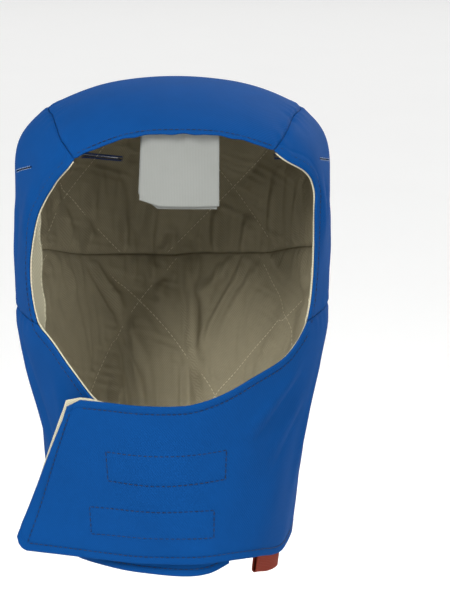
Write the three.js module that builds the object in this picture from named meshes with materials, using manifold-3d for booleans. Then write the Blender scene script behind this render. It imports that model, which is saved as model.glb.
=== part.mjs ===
// Hard hat liner: a winter hood worn under a safety helmet, in the shape that the head gives it.
// It has a woven shell of crown top, crown band and cape, a quilted lining of three pieces, twill
// facings on the side edges of the face opening, a backed chin flap with two hook tapes behind it,
// a care label of two leaves and a ribbon tab at the hem.
// Millimetres, +Z up. The wearer faces -Y, so +X is the wearer's left.
// The origin is the highest point of the lining, where the top of the head meets it.
//
// A place on the hood is a turn and a climb. The turn is in degrees round from the middle of the
// back, positive towards +X, so the middle of the face is at 180. The climb is measured up the outer
// face of the shell from the seam between crown and cape, in millimetres, and the cape is below 0.

import * as THREE from 'three';
import { mergeVertices } from 'three/addons/utils/BufferGeometryUtils.js';
import Module from 'manifold-3d';

// Layers, from the outside in
const SHELL = 1.2;
const LAYER_GAP = 0.4; // between tapes and the cloth that they are sewn to
const SLACK = { crown: 1.0, neck: 1.8 }; // the lining hangs this far inside the shell
const FACING = 1.0;
const HOOK_TAPE = 1.6;
const QUILT_SEWN = 2.6; // at the quilting stitches
const QUILT_LOFT = 2.4; // added in the middle of a diamond
const QUILT_TOP = 4.0; // over the top of the head
const LABEL = 0.7;
const SEAM_GAP = 0.3; // between pieces that are sewn edge to edge

// Crown
const CROWN_RISE = 139; // crown seam to the top of the shell
const DOME_BASE = 85; // height at which the wall turns in
const DOME_ARC = 125; // length of wall from there to the top
const DOME_FULLNESS = 2.3; // 2 is an ellipse, more is squarer
const DOME_LEAN = 25; // how far the top lies behind the middle
const CROWN_SWAY = 2.4; // how far the crown stands over towards +X
const SWAY_CLIMB = 90; // above which all of it does
const SEAT_HEIGHT = CROWN_RISE - SHELL - SLACK.crown - QUILT_TOP;
const MM_PER_DEGREE = 1.73; // along the shell, at its mean radius

// Seam of the crown top, and its hemmed edge over the forehead
const ARCH_TOP = 117.6;
const ARCH_FLATNESS = 2.7; // 2 is a plain arch, more is flatter in the middle
const ARCH_TURN = 141.5; // both front corners of the crown top
const CORNER_RISE = { left: 102.5, right: 106.5 };
const TOP_SEAM_RISE = 121.8; // sides and back
const TOP_SEAM_TURN = 104; // level from here to the back
const FOREHEAD_HEM = 10.5; // bare shell inside the arch, before the lining
const FOREHEAD_HEM_TAPER = 20; // degrees past the corner over which it runs out

// Cape and chin flap
const FLAP_LIFT = 7; // the flap lies this far outside the underlap
const FLAP_LIFT_FROM = 110;
const FLAP_LIFT_TO = 170;
const FLAP_LIFT_DROP = 25; // the lift grows over this much cloth below the crown seam
const FLAP_STRAIGHT_FROM = 198; // past this turn the flap runs on straight
const FLAP_END = { top: 218, hem: 245.5 };
const FLAP_SPLAY_FROM = 185; // columns of cloth lean towards the free end from here
const FLAP_CLIP = { along: 9, down: 5 }; // cut-off upper corner
const FLAP_CORNER_RADIUS = 8;
const UNDERLAP_END = -205;
const BACKING_FROM = 146.2;
const BACKING_PEEP = 0.5; // twill that shows past the edge of the flap
const BACKING_HEM = 1; // the backing stops this far above the hem

// Facing, lining, label and tab
const FACING_WIDTH = 11.5;
const FACING_SLACK = 0.4; // clear of the shell's bends
const FACING_SLOPE = 2.0; // its inner edge lies this much deeper
const FACING_START = 0.95; // share of the corner's height
const FACING_TAPER = { from: -0.06, to: 0.05 }; // shares of its length over which it widens
const LINING_HEM = 4; // the lining stops this far above the hem
const LINING_END = { left: -203, right: 145.2 };
const QUILT_PITCH = 130; // between parallel quilting lines, along the seam
const QUILT_STEEPNESS = 1.6; // of the rise from a line of stitches
const LABEL_TURNS = { from: 161.8, to: 193.8 };
const TAB_TURNS = { from: 118, to: 140 };
const TAB_DROP = 11.5;
const TAB_TUCK = 3.2;
const TAB_FOLD = 1.4; // radius of the fold
const TAB_CLOTH = 0.8;
const SLOT_WIDTH = 2.4;
const SLOT_CUT = 36; // depth of the cut, enough for shell and lining
const WELD = 1e-3; // corners closer than this are one

const SHELL_SECTIONS = [
  { climb: -170, halfWidth: 76.5, front: 86, back: 92 },
  { climb: -110, halfWidth: 82.7, front: 89, back: 92 },
  { climb: -67, halfWidth: 86.5, front: 93, back: 96 },
  { climb: -35, halfWidth: 93, front: 98, back: 102 },
  { climb: -12, halfWidth: 98.8, front: 101, back: 106 },
  { climb: 0, halfWidth: 98.4, front: 100.8, back: 105.2 },
  { climb: 14, halfWidth: 99, front: 102, back: 107 },
  { climb: 50, halfWidth: 99, front: 103, back: 108 },
  { climb: 85, halfWidth: 98.6, front: 103, back: 108 },
];

// Hollows pressed into the shell beside the slots and where the cape hangs in under the crown.
const DENTS = [
  { turn: 56, climb: 108, wide: 13, tall: 24, depth: 4 },
  { turn: -36, climb: 102, wide: 13, tall: 24, depth: 3.5 },
  { turn: 108, climb: 97, wide: 12, tall: 15, depth: 2 },
  { turn: -110, climb: 94, wide: 12, tall: 15, depth: 2.5 },
  { turn: 0, climb: -62, wide: 42, tall: 30, depth: 3 },
  { turn: 62, climb: -70, wide: 15, tall: 45, depth: 2.5 },
  { turn: -62, climb: -70, wide: 15, tall: 45, depth: 2.5 },
];

// Side edges of the face opening: rise is a share of the corner's height, and lined is how far
// behind the edge the lining starts, in degrees.
const FACE_EDGE = [
  { rise: 0, left: 124.5, right: 123.5, lined: 9.8 },
  { rise: 0.1, left: 121.8, right: 121.2, lined: 10 },
  { rise: 0.25, left: 118.2, right: 120, lined: 9.2 },
  { rise: 0.42, left: 118.6, right: 120.6, lined: 8.4 },
  { rise: 0.6, left: 121.8, right: 122, lined: 8.4 },
  { rise: 0.72, left: 127, right: 123, lined: 9.2 },
  { rise: 0.83, left: 133.4, right: 128.8, lined: 10.5 },
  { rise: 0.92, left: 138.4, right: 136.6, lined: 11 },
  { rise: 1, left: 141.5, right: 141.5, lined: 11.5 },
];

// Upper edge of the cape: level at the crown seam, then down to the chin on each side.
const FLAP_TOP = [
  { turn: 123.5, climb: 0 },
  { turn: 130, climb: -7.5 },
  { turn: 138, climb: -17 },
  { turn: 151, climb: -24.5 },
  { turn: 166, climb: -34 },
  { turn: 177, climb: -38.5 },
  { turn: 205, climb: -38 },
  { turn: 222, climb: -38 },
];
const UNDERLAP_TOP = [
  { turn: 124.5, climb: 0 },
  { turn: 134, climb: -9 },
  { turn: 140.5, climb: -22 },
  { turn: 148, climb: -39 },
  { turn: 158, climb: -50 },
  { turn: 172, climb: -56 },
  { turn: 205, climb: -58 },
];
const HEM = [
  { turn: -205, climb: -143.5 },
  { turn: -195, climb: -151 },
  { turn: -180, climb: -152 },
  { turn: -150, climb: -150 },
  { turn: -120, climb: -153 },
  { turn: -90, climb: -154 },
  { turn: -60, climb: -147 },
  { turn: -30, climb: -139 },
  { turn: 0, climb: -137 },
  { turn: 30, climb: -139 },
  { turn: 60, climb: -147 },
  { turn: 90, climb: -155 },
  { turn: 117, climb: -155 },
  { turn: 128, climb: -152.5 },
  { turn: 140, climb: -147 },
  { turn: 156, climb: -142.7 },
  { turn: 175, climb: -141.4 },
  { turn: 200, climb: -141.5 },
  { turn: 225, climb: -140.8 },
  { turn: 250, climb: -140.3 },
];

// Seam between the two parts of the lining, and the upper edge of the neck lining past it.
const LINING_SEAM = [
  { turn: 0, climb: 7 },
  { turn: 40, climb: 14 },
  { turn: 65, climb: 25 },
  { turn: 80, climb: 29 },
  { turn: 98, climb: 21 },
  { turn: 114, climb: 5 },
];
const NECK_LINING_TOP = {
  right: [
    { turn: 114, climb: 5 },
    { turn: 118, climb: -8 },
    { turn: 124, climb: -17 },
    { turn: 131, climb: -25 },
    { turn: 139, climb: -34 },
    { turn: 147, climb: -41 },
  ],
  left: [
    { turn: 114, climb: 5 },
    { turn: 118, climb: -8 },
    { turn: 125, climb: -18 },
    { turn: 132, climb: -33 },
    { turn: 140, climb: -53 },
    { turn: 150, climb: -66 },
    { turn: 172, climb: -72 },
    { turn: 205, climb: -73 },
  ],
};

// Rows of quilting: each line leans across by its height times lean, and start is its place on the
// seam, round from the back.
const CROWN_QUILTING = [
  { lean: -1, start: -28 },
  { lean: 1, start: -13 },
];
const NECK_QUILTING = [
  { lean: -1, start: -50 },
  { lean: 1, start: -2 },
];

// Buttonhole slots for the straps of a helmet's cradle, from one end to the other.
const SLOTS = [
  { turn: -23.5, climb: 78, endTurn: -42, endClimb: 83.5 },
  { turn: 46, climb: 82, endTurn: 65, endClimb: 86 },
  { turn: -99, climb: 86, endTurn: -116, endClimb: 94 },
  { turn: 99, climb: 93, endTurn: 115, endClimb: 99 },
];

const HOOK_TAPES = [
  { name: 'hook_tape_upper', from: 160, to: 205, top: -69.5, bottom: -88.5 },
  { name: 'hook_tape_lower', from: 164.5, to: 213.5, top: -108, bottom: -126 },
];

// Facings: the last turn of each, and the share of its length that is on the crown.
const FACINGS = [
  { name: 'edge_facing_left', side: 'left', lastTurn: 203, crownShare: 0.5, columns: 26 },
  { name: 'edge_facing_right', side: 'right', lastTurn: 145.6, crownShare: 0.72, columns: 20 },
];

// Leaves of the label: seat is behind the edge of the arch, and the foot hangs back by backward.
const LABEL_LEAVES = [
  { name: 'care_label_front', seat: 5, turnShift: 0, foot: 73, backward: 2 },
  { name: 'care_label_back', seat: 7, turnShift: 0.6, foot: 71, backward: 3.5 },
];

const wasm = await Module();
wasm.setup();

const { clamp, lerp, smoothstep, degToRad } = THREE.MathUtils;

const cloth = (color) => new THREE.MeshStandardMaterial({ color, roughness: 0.9, metalness: 0 });
const BLUE_SHELL = cloth('#1d57a3');
const OLIVE_TWILL = cloth('#5e5640');
const CREAM_TWILL = cloth('#d8d3b8');
const NAVY_HOOK = cloth('#1b2f57');
const LABEL_TAFFETA = cloth('#c9c9c2');
const RED_RIBBON = cloth('#b04a33');

// Value of a table's column at a place along its key, on a smooth curve through its rows.
function along(table, key, column, place) {
  const last = table.length - 1;
  const at = clamp(place, table[0][key], table[last][key]);
  let i = 0;
  while (i < last - 1 && at > table[i + 1][key]) i++;
  const slope = (k) => {
    const before = table[Math.max(k - 1, 0)];
    const after = table[Math.min(k + 1, last)];
    return (after[column] - before[column]) / (after[key] - before[key]);
  };
  const span = table[i + 1][key] - table[i][key];
  const t = (at - table[i][key]) / span;
  const from = table[i][column];
  const to = table[i + 1][column];
  const ease = t * t * (3 - 2 * t);
  const lead = t * (1 - t) * (1 - t) * span * slope(i);
  const trail = t * t * (1 - t) * span * slope(i + 1);
  return lerp(from, to, ease) + lead - trail;
}

const sideOf = (turn) => (turn < 0 ? 'left' : 'right');
const wrapped = (turn) => (turn > 180 ? turn - 360 : turn);

// Climb at which the dome reaches a height above the crown seam.
function climbAt(height) {
  if (height <= DOME_BASE) return height;
  const share = (height - DOME_BASE) / (CROWN_RISE - DOME_BASE);
  return DOME_BASE + (DOME_ARC * Math.asin(share ** (DOME_FULLNESS / 2))) / (Math.PI / 2);
}

function dentAt(turn, climb) {
  const press = (dent) => {
    const across = (turn - dent.turn) / dent.wide;
    const up = (climb - dent.climb) / dent.tall;
    return dent.depth * Math.exp(-across * across - up * up);
  };
  return DENTS.reduce((sum, dent) => sum + press(dent), 0);
}

// Point of the shell's outer face, with lift outwards from it.
function shellPoint(turn, climb, lift = 0) {
  const wall = Math.min(climb, DOME_BASE);
  const arc = (clamp((climb - DOME_BASE) / DOME_ARC, 0, 1) * Math.PI) / 2;
  const rise = Math.sin(arc) ** (2 / DOME_FULLNESS);
  const shrink = Math.max(Math.cos(arc), 0) ** (2 / DOME_FULLNESS);
  const swing = degToRad(turn);
  const out = lift - dentAt(turn, climb) * shrink;
  const depth = along(SHELL_SECTIONS, 'climb', Math.cos(swing) > 0 ? 'back' : 'front', wall);
  const halfWidth = along(SHELL_SECTIONS, 'climb', 'halfWidth', wall);
  return new THREE.Vector3(
    (halfWidth * shrink + out) * Math.sin(swing) + CROWN_SWAY * smoothstep(climb, 0, SWAY_CLIMB),
    DOME_LEAN * rise * rise + (depth * shrink + out) * Math.cos(swing),
    wall + (CROWN_RISE - DOME_BASE) * rise,
  );
}

// Point of the cape's outer face: the shell, lifted over the underlap at the chin, then straight on.
function capePoint(turn, climb) {
  const round = smoothstep(turn, FLAP_LIFT_FROM, FLAP_LIFT_TO);
  const lift = FLAP_LIFT * round * smoothstep(-climb, 0, FLAP_LIFT_DROP);
  if (turn <= FLAP_STRAIGHT_FROM) return shellPoint(turn, climb, lift);
  const start = shellPoint(FLAP_STRAIGHT_FROM, climb, lift);
  const heading = shellPoint(FLAP_STRAIGHT_FROM + 1, climb, lift).sub(start);
  return start.addScaledVector(heading, turn - FLAP_STRAIGHT_FROM);
}

// Point at a depth below a surface, square to it.
function below(surface, turn, climb, depth) {
  const step = 0.4;
  const round = surface(turn + step, climb).sub(surface(turn - step, climb));
  const up = surface(turn, climb + step).sub(surface(turn, climb - step));
  const outward = up.cross(round);
  if (outward.length() < WELD ** 2) outward.set(0, 0, 1);
  return surface(turn, climb).addScaledVector(outward.normalize(), -depth);
}

// Height of the crown top's edge: an arch over the forehead, then the seam to the crown band.
function crownTopRise(turn) {
  const round = Math.abs(turn);
  const corner = CORNER_RISE[sideOf(turn)];
  if (round > ARCH_TURN) {
    const share = Math.sin(degToRad(round)) / Math.sin(degToRad(ARCH_TURN));
    return lerp(ARCH_TOP, corner, Math.abs(share) ** ARCH_FLATNESS);
  }
  const share = clamp((ARCH_TURN - round) / (ARCH_TURN - TOP_SEAM_TURN), 0, 1);
  return lerp(corner, TOP_SEAM_RISE, share * (2 - share));
}

function capeTop(turn) {
  const table = turn < 0 ? UNDERLAP_TOP : FLAP_TOP;
  return along(table, 'turn', 'climb', Math.abs(turn));
}

const hemAt = (turn) => along(HEM, 'turn', 'climb', turn);
const flapEnd = (down) => lerp(FLAP_END.top, FLAP_END.hem, down);

// Closed wall between two faces. corner(across, up) gives the outer and inner point of each corner,
// both shares from 0 to 1. A ring's last column is its first, and its sides have no rim.
function wall(columns, rows, corner, ring = false) {
  const points = [];
  for (let r = 0; r <= rows; r++) {
    for (let c = 0; c <= columns; c++) points.push(...corner(c / columns, r / rows));
  }
  const index = [];
  const id = (r, c, inner) => 2 * (r * (columns + 1) + c) + inner;
  const quad = (a, b, c, d) => index.push(a, b, c, a, c, d);
  for (let r = 0; r < rows; r++) {
    for (let c = 0; c < columns; c++) {
      quad(id(r, c, 0), id(r, c + 1, 0), id(r + 1, c + 1, 0), id(r + 1, c, 0));
      quad(id(r, c, 1), id(r + 1, c, 1), id(r + 1, c + 1, 1), id(r, c + 1, 1));
    }
  }
  for (let c = 0; c < columns; c++) {
    quad(id(0, c, 0), id(0, c, 1), id(0, c + 1, 1), id(0, c + 1, 0));
    quad(id(rows, c, 0), id(rows, c + 1, 0), id(rows, c + 1, 1), id(rows, c, 1));
  }
  for (let r = 0; r < rows && !ring; r++) {
    quad(id(r, 0, 0), id(r + 1, 0, 0), id(r + 1, 0, 1), id(r, 0, 1));
    quad(id(r, columns, 0), id(r, columns, 1), id(r + 1, columns, 1), id(r + 1, columns, 0));
  }
  const flat = new Float32Array(points.flatMap((p) => p.toArray()));
  const loose = new THREE.BufferGeometry();
  loose.setAttribute('position', new THREE.BufferAttribute(flat, 3));
  loose.setIndex(index);
  return facingOut(mergeVertices(loose, WELD));
}

// The same surface without its collapsed triangles, turned so that it encloses a positive volume.
function facingOut(geometry) {
  const at = (i) => new THREE.Vector3().fromBufferAttribute(geometry.attributes.position, i);
  const kept = [];
  let volume = 0;
  for (let i = 0; i < geometry.index.count; i += 3) {
    const [a, b, c] = geometry.index.array.slice(i, i + 3);
    if (a === b || b === c || c === a) continue;
    kept.push([a, b, c]);
    volume += at(a).dot(at(b).cross(at(c)));
  }
  geometry.setIndex(kept.flatMap(([a, b, c]) => (volume < 0 ? [a, c, b] : [a, b, c])));
  return geometry;
}

function solidOf(geometry) {
  return new wasm.Manifold(
    new wasm.Mesh({
      numProp: 3,
      vertProperties: geometry.attributes.position.array,
      triVerts: new Uint32Array(geometry.index.array),
    }),
  );
}

function geometryOf(solid) {
  const mesh = solid.getMesh();
  const geometry = new THREE.BufferGeometry();
  geometry.setAttribute('position', new THREE.BufferAttribute(mesh.vertProperties, 3));
  geometry.setIndex(new THREE.BufferAttribute(mesh.triVerts, 1));
  return geometry;
}

// Block that cuts one buttonhole square through the wall of the crown.
function slotCutter(slot) {
  const middleTurn = (slot.turn + slot.endTurn) / 2;
  const middleClimb = (slot.climb + slot.endClimb) / 2;
  const centre = below(shellPoint, middleTurn, middleClimb, 0);
  const inward = below(shellPoint, middleTurn, middleClimb, 1).sub(centre);
  const chord = shellPoint(slot.endTurn, slot.endClimb).sub(shellPoint(slot.turn, slot.climb));
  const length = chord.length();
  const lengthwise = chord.addScaledVector(inward, -chord.dot(inward)).normalize();
  const crosswise = new THREE.Vector3().crossVectors(inward, lengthwise);
  const block = new THREE.BoxGeometry(length, SLOT_WIDTH, SLOT_CUT);
  block.applyMatrix4(new THREE.Matrix4().makeBasis(lengthwise, crosswise, inward));
  block.translate(centre.x, centre.y, centre.z);
  block.deleteAttribute('normal');
  block.deleteAttribute('uv');
  return solidOf(mergeVertices(block, WELD));
}

function withSlots(geometry) {
  return geometryOf(SLOTS.reduce((solid, slot) => solid.subtract(slotCutter(slot)), solidOf(geometry)));
}

// Loft of the quilting at a place: none on a line of stitches, full in the middle of a diamond.
function quiltLoft(lines, turn, climb) {
  const away = lines.map(({ lean, start }) => {
    const across = turn * MM_PER_DEGREE - start - lean * climb;
    return Math.min(1, QUILT_STEEPNESS * Math.abs(Math.sin((Math.PI * across) / QUILT_PITCH)));
  });
  return QUILT_SEWN + QUILT_LOFT * away[0] * away[1];
}

const TAPE_DEPTH = SHELL + LAYER_GAP;
const CROWN_LINING_DEPTH = SHELL + SLACK.crown;
const NECK_LINING_DEPTH = SHELL + SLACK.neck;

// Columns of the crown band and of the arch, the same in the crown top, so that they meet at the seam.
const BAND_COLUMNS = 42;
const ARCH_COLUMNS = 10;
const ROW_EASE = 1.4; // rows lie closer together towards the top seam, where the wall bends

// Dome above the crown top's edge, between two depths, with its edge set back.
function dome(depth, thickness, setBack) {
  const columns = BAND_COLUMNS + ARCH_COLUMNS;
  const rows = 5;
  return wall(
    columns,
    rows,
    (across, up) => {
      const past = across * columns - BAND_COLUMNS;
      const inArch = lerp(ARCH_TURN, 360 - ARCH_TURN, past / ARCH_COLUMNS);
      const inBand = lerp(ARCH_TURN, -ARCH_TURN, -past / BAND_COLUMNS);
      const turn = past > 0 ? wrapped(inArch) : inBand;
      const edge = climbAt(crownTopRise(turn)) + setBack(turn);
      const climb = lerp(edge, DOME_BASE + DOME_ARC, up ** ROW_EASE);
      return [depth, depth + thickness].map((d) => below(shellPoint, turn, climb, d));
    },
    true,
  );
}

function crownTop() {
  return dome(0, SHELL, () => SEAM_GAP / 2);
}

function liningTop() {
  const setBack = (turn) => {
    const hem = smoothstep(Math.abs(turn), ARCH_TURN - FOREHEAD_HEM_TAPER, ARCH_TURN);
    return SEAM_GAP + FOREHEAD_HEM * hem;
  };
  return dome(CROWN_LINING_DEPTH, QUILT_TOP, setBack);
}

// Turn and climb in the crown's side wall: across runs from the left edge of the face to the right.
function bandPlace(across, up, foot, setBack) {
  const swing = 2 * across - 1;
  const side = sideOf(swing);
  const rise = 1 - (1 - up) ** ROW_EASE;
  const edge = along(FACE_EDGE, 'rise', side, rise) - setBack * along(FACE_EDGE, 'rise', 'lined', rise);
  const turn = swing * edge;
  const headTurn = swing * (ARCH_TURN - setBack * along(FACE_EDGE, 'rise', 'lined', 1));
  const head = climbAt(crownTopRise(headTurn)) - SEAM_GAP / 2;
  return { turn, climb: lerp(foot(turn), head, rise) };
}

function crownBand() {
  const columns = BAND_COLUMNS;
  const rows = 7;
  const foot = () => SEAM_GAP / 2;
  const panel = wall(columns, rows, (across, up) => {
    const { turn, climb } = bandPlace(across, up, foot, 0);
    return [0, SHELL].map((d) => below(shellPoint, turn, climb, d));
  });
  return withSlots(panel);
}

const liningSeam = (turn) => along(LINING_SEAM, 'turn', 'climb', Math.abs(turn));

function liningCrown() {
  const columns = BAND_COLUMNS;
  const rows = 7;
  const foot = (turn) => liningSeam(turn) + SEAM_GAP / 2;
  const panel = wall(columns, rows, (across, up) => {
    const { turn, climb } = bandPlace(across, up, foot, 1);
    const loft = quiltLoft(CROWN_QUILTING, turn, climb);
    return [0, loft].map((d) => below(shellPoint, turn, climb, CROWN_LINING_DEPTH + d));
  });
  return withSlots(panel);
}

function neckLiningTop(turn) {
  const table = NECK_LINING_TOP[sideOf(turn)];
  if (Math.abs(turn) < table[0].turn) return liningSeam(turn);
  return along(table, 'turn', 'climb', Math.abs(turn));
}

function liningNeck() {
  const columns = 62;
  const rows = 8;
  return wall(columns, rows, (across, down) => {
    const turn = lerp(LINING_END.left, LINING_END.right, across);
    const climb = lerp(neckLiningTop(turn) - SEAM_GAP / 2, hemAt(turn) + LINING_HEM, down);
    const loft = quiltLoft(NECK_QUILTING, turn, climb);
    return [0, loft].map((d) => below(capePoint, turn, climb, NECK_LINING_DEPTH + d));
  });
}

// Turn and climb in the flap's free end: toEnd runs from FLAP_SPLAY_FROM to the end, and peep is
// cloth added past the edges. The columns draw together towards the rounded corner.
function flapPlace(toEnd, down, peep) {
  const crowding = 1.7;
  const share = 1 - (1 - toEnd) ** crowding;
  const end = flapEnd(down) + peep / MM_PER_DEGREE;
  const turn = lerp(FLAP_SPLAY_FROM, end, share);
  const left = (end - turn) * MM_PER_DEGREE;
  const clip = FLAP_CLIP.down * Math.max(0, 1 - left / FLAP_CLIP.along);
  const short = Math.max(0, FLAP_CORNER_RADIUS - left);
  const round = FLAP_CORNER_RADIUS - Math.sqrt(FLAP_CORNER_RADIUS ** 2 - short ** 2);
  const top = capeTop(turn) + peep - clip;
  return { turn, climb: lerp(top, hemAt(turn) + round, down) };
}

function cape() {
  const columns = 62;
  const rows = 8;
  const roundColumns = 54;
  const splay = roundColumns / columns;
  return wall(columns, rows, (across, down) => {
    let place;
    if (across <= splay) {
      const turn = lerp(UNDERLAP_END, FLAP_SPLAY_FROM, across / splay);
      place = { turn, climb: lerp(capeTop(turn) - SEAM_GAP / 2, hemAt(turn), down) };
    } else {
      place = flapPlace((across - splay) / (1 - splay), down, 0);
    }
    return [0, SHELL].map((d) => below(capePoint, place.turn, place.climb, d));
  });
}

function flapBacking() {
  const columns = 14;
  const rows = 6;
  const roundColumns = 6;
  const splay = roundColumns / columns;
  return wall(columns, rows, (across, down) => {
    let place;
    if (across <= splay) {
      const turn = lerp(BACKING_FROM, FLAP_SPLAY_FROM, across / splay);
      const peep = BACKING_PEEP * (across / splay);
      place = { turn, climb: lerp(capeTop(turn) + peep, hemAt(turn) + BACKING_HEM, down) };
    } else {
      place = flapPlace((across - splay) / (1 - splay), down, BACKING_PEEP);
    }
    return [0, FACING].map((d) => below(capePoint, place.turn, place.climb, TAPE_DEPTH + d));
  });
}

function hookTape(tape) {
  const columns = 8;
  const rows = 2;
  const depth = TAPE_DEPTH + FACING + 2 * LAYER_GAP;
  return wall(columns, rows, (across, down) => {
    const turn = lerp(tape.from, tape.to, across);
    const climb = lerp(tape.top, tape.bottom, down);
    return [depth, depth + HOOK_TAPE].map((d) => below(capePoint, turn, climb, d));
  });
}

// Place on the side edge of the face opening: share 0 is near the corner of the crown top, 1 is the
// lower end, and crownShare of the way is on the crown.
function edgePlace(side, share, lastTurn, crownShare) {
  const sign = side === 'left' ? -1 : 1;
  if (share < crownShare) {
    const rise = FACING_START * (1 - share / crownShare);
    const turn = sign * along(FACE_EDGE, 'rise', side, rise);
    return { turn, climb: climbAt(rise * CORNER_RISE[side]) };
  }
  const first = along(FACE_EDGE, 'rise', side, 0);
  const turn = sign * lerp(first, lastTurn, (share - crownShare) / (1 - crownShare));
  return { turn, climb: capeTop(turn) };
}

// Twill tape along a side edge of the face opening, sloping in to meet the lining.
function edgeFacing({ side, lastTurn, crownShare, columns }) {
  const rows = 2;
  const step = 0.012;
  return wall(columns, rows, (share, inset) => {
    const place = edgePlace(side, share, lastTurn, crownShare);
    const ahead = edgePlace(side, Math.min(share + step, 1), lastTurn, crownShare);
    const behind = edgePlace(side, Math.max(share - step, 0), lastTurn, crownShare);
    const run = new THREE.Vector2(
      (ahead.turn - behind.turn) * MM_PER_DEGREE,
      ahead.climb - behind.climb,
    ).normalize();
    const sign = side === 'left' ? -1 : 1;
    const width = FACING_WIDTH * inset * smoothstep(share, FACING_TAPER.from, FACING_TAPER.to);
    const turn = place.turn + (sign * run.y * width) / MM_PER_DEGREE;
    const climb = place.climb - sign * run.x * width;
    const depth = TAPE_DEPTH + FACING_SLACK + FACING_SLOPE * inset;
    return [0, FACING].map((d) => below(capePoint, turn, climb, depth + d));
  });
}

// Leaf of the care label: sewn inside the arch and hanging straight down.
function labelLeaf({ seat, turnShift, foot, backward }) {
  const columns = 6;
  const rows = 5;
  return wall(columns, rows, (across, down) => {
    const turn = lerp(LABEL_TURNS.from, LABEL_TURNS.to, across) + turnShift;
    const edge = climbAt(crownTopRise(wrapped(turn)));
    const head = below(shellPoint, turn, edge + seat, TAPE_DEPTH + LAYER_GAP);
    const z = lerp(head.z, foot, down);
    return [0, LABEL].map((d) => new THREE.Vector3(head.x, head.y + backward * down + d, z));
  });
}

// Ribbon folded over at its lower end, with both ends tucked up inside the hem.
function hemTab() {
  const columns = 5;
  const rows = 10;
  const leaf = TAB_TUCK + TAB_DROP - TAB_FOLD;
  const turnRound = Math.PI * TAB_FOLD;
  const total = 2 * leaf + turnRound;
  const front = TAPE_DEPTH + TAB_CLOTH / 2;
  return wall(columns, rows, (across, down) => {
    const turn = lerp(TAB_TURNS.from, TAB_TURNS.to, across);
    const run = down * total;
    const swing = clamp((run - leaf) / turnRound, 0, 1) * Math.PI;
    const up = Math.min(run, leaf) - Math.max(run - leaf - turnRound, 0);
    const middle = front + TAB_FOLD * (1 - Math.cos(swing));
    const climb = hemAt(turn) + TAB_TUCK - up - TAB_FOLD * Math.sin(swing);
    return [-0.5, 0.5].map((half) => {
      const d = middle + half * TAB_CLOTH * Math.cos(swing);
      return below(capePoint, turn, climb + half * TAB_CLOTH * Math.sin(swing), d);
    });
  });
}

const hood = new THREE.Group();
hood.position.z = -SEAT_HEIGHT;

function sew(name, geometry, material) {
  const mesh = new THREE.Mesh(geometry, material);
  mesh.name = name;
  hood.add(mesh);
}

sew('crown_top', crownTop(), BLUE_SHELL);
sew('crown_band', crownBand(), BLUE_SHELL);
sew('cape', cape(), BLUE_SHELL);
sew('lining_top', liningTop(), OLIVE_TWILL);
sew('lining_crown', liningCrown(), OLIVE_TWILL);
sew('lining_neck', liningNeck(), OLIVE_TWILL);
FACINGS.forEach((facing) => sew(facing.name, edgeFacing(facing), CREAM_TWILL));
sew('flap_backing', flapBacking(), CREAM_TWILL);
HOOK_TAPES.forEach((tape) => sew(tape.name, hookTape(tape), NAVY_HOOK));
LABEL_LEAVES.forEach((leaf) => sew(leaf.name, labelLeaf(leaf), LABEL_TAFFETA));
sew('hem_tab', hemTab(), RED_RIBBON);

const part = new THREE.Group();
part.add(hood);

export default part;
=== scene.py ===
"""Hard hat liner: a quilted winter hood in cloth, padding and stitching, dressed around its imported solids.

A place on the hood is a turn and a climb. The turn is in degrees round from the middle of the back,
positive towards +X, so the middle of the face is at 180. The climb is measured up the outer face of the
shell from the seam between crown and cape, in millimetres, and the cape is below 0. Pieces are worked out
in millimetres above that seam, and go into the row's frame in metres when their mesh is made.
"""

import math
from collections import namedtuple

import bmesh
import bpy
import numpy as np
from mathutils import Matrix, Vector


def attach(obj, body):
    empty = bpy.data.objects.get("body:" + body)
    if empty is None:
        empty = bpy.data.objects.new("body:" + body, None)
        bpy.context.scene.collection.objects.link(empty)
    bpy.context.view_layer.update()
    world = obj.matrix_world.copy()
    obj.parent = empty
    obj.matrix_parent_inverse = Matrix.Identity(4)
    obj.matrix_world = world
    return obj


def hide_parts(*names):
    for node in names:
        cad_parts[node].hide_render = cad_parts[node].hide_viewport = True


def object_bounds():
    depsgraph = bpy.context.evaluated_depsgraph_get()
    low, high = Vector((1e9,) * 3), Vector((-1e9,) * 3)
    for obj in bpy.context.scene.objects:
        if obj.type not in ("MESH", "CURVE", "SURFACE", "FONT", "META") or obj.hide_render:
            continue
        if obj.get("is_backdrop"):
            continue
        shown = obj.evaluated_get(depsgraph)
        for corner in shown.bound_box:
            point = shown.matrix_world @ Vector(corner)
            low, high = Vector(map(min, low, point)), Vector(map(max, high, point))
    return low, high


bl_info = {
    "name": "Hard hat liner",
    "version": (1, 0, 0),
    "blender": (4, 5, 0),
    "location": "View3D > Sidebar > Liner",
    "description": "Dresses the packed solids of a quilted hard hat liner in cloth, padding and stitching",
    "category": "Object",
}

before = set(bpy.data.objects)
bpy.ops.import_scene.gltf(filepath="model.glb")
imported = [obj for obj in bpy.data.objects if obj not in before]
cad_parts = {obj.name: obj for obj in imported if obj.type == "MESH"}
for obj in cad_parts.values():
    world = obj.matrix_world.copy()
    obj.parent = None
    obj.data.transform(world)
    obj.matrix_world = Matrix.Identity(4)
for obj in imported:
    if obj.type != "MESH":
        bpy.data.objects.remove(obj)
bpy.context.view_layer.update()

MM = 0.001

# Layers, from the outside in, as in the solids
SHELL = 1.2
TAPE_GAP = 0.4
SLACK = {"crown": 1.0, "neck": 1.8}
FACING = 1.0
HOOK_TAPE = 1.2
TAPE_SHOWS = 0.4  # relief of a hook tape through the flap
TAPE_DEPTH = SHELL + FACING + 3 * TAPE_GAP
QUILT_SEWN = 2.6
QUILT_TOP = 4.0
LABEL = 0.5
SEAM_GAP = 0.04

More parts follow.
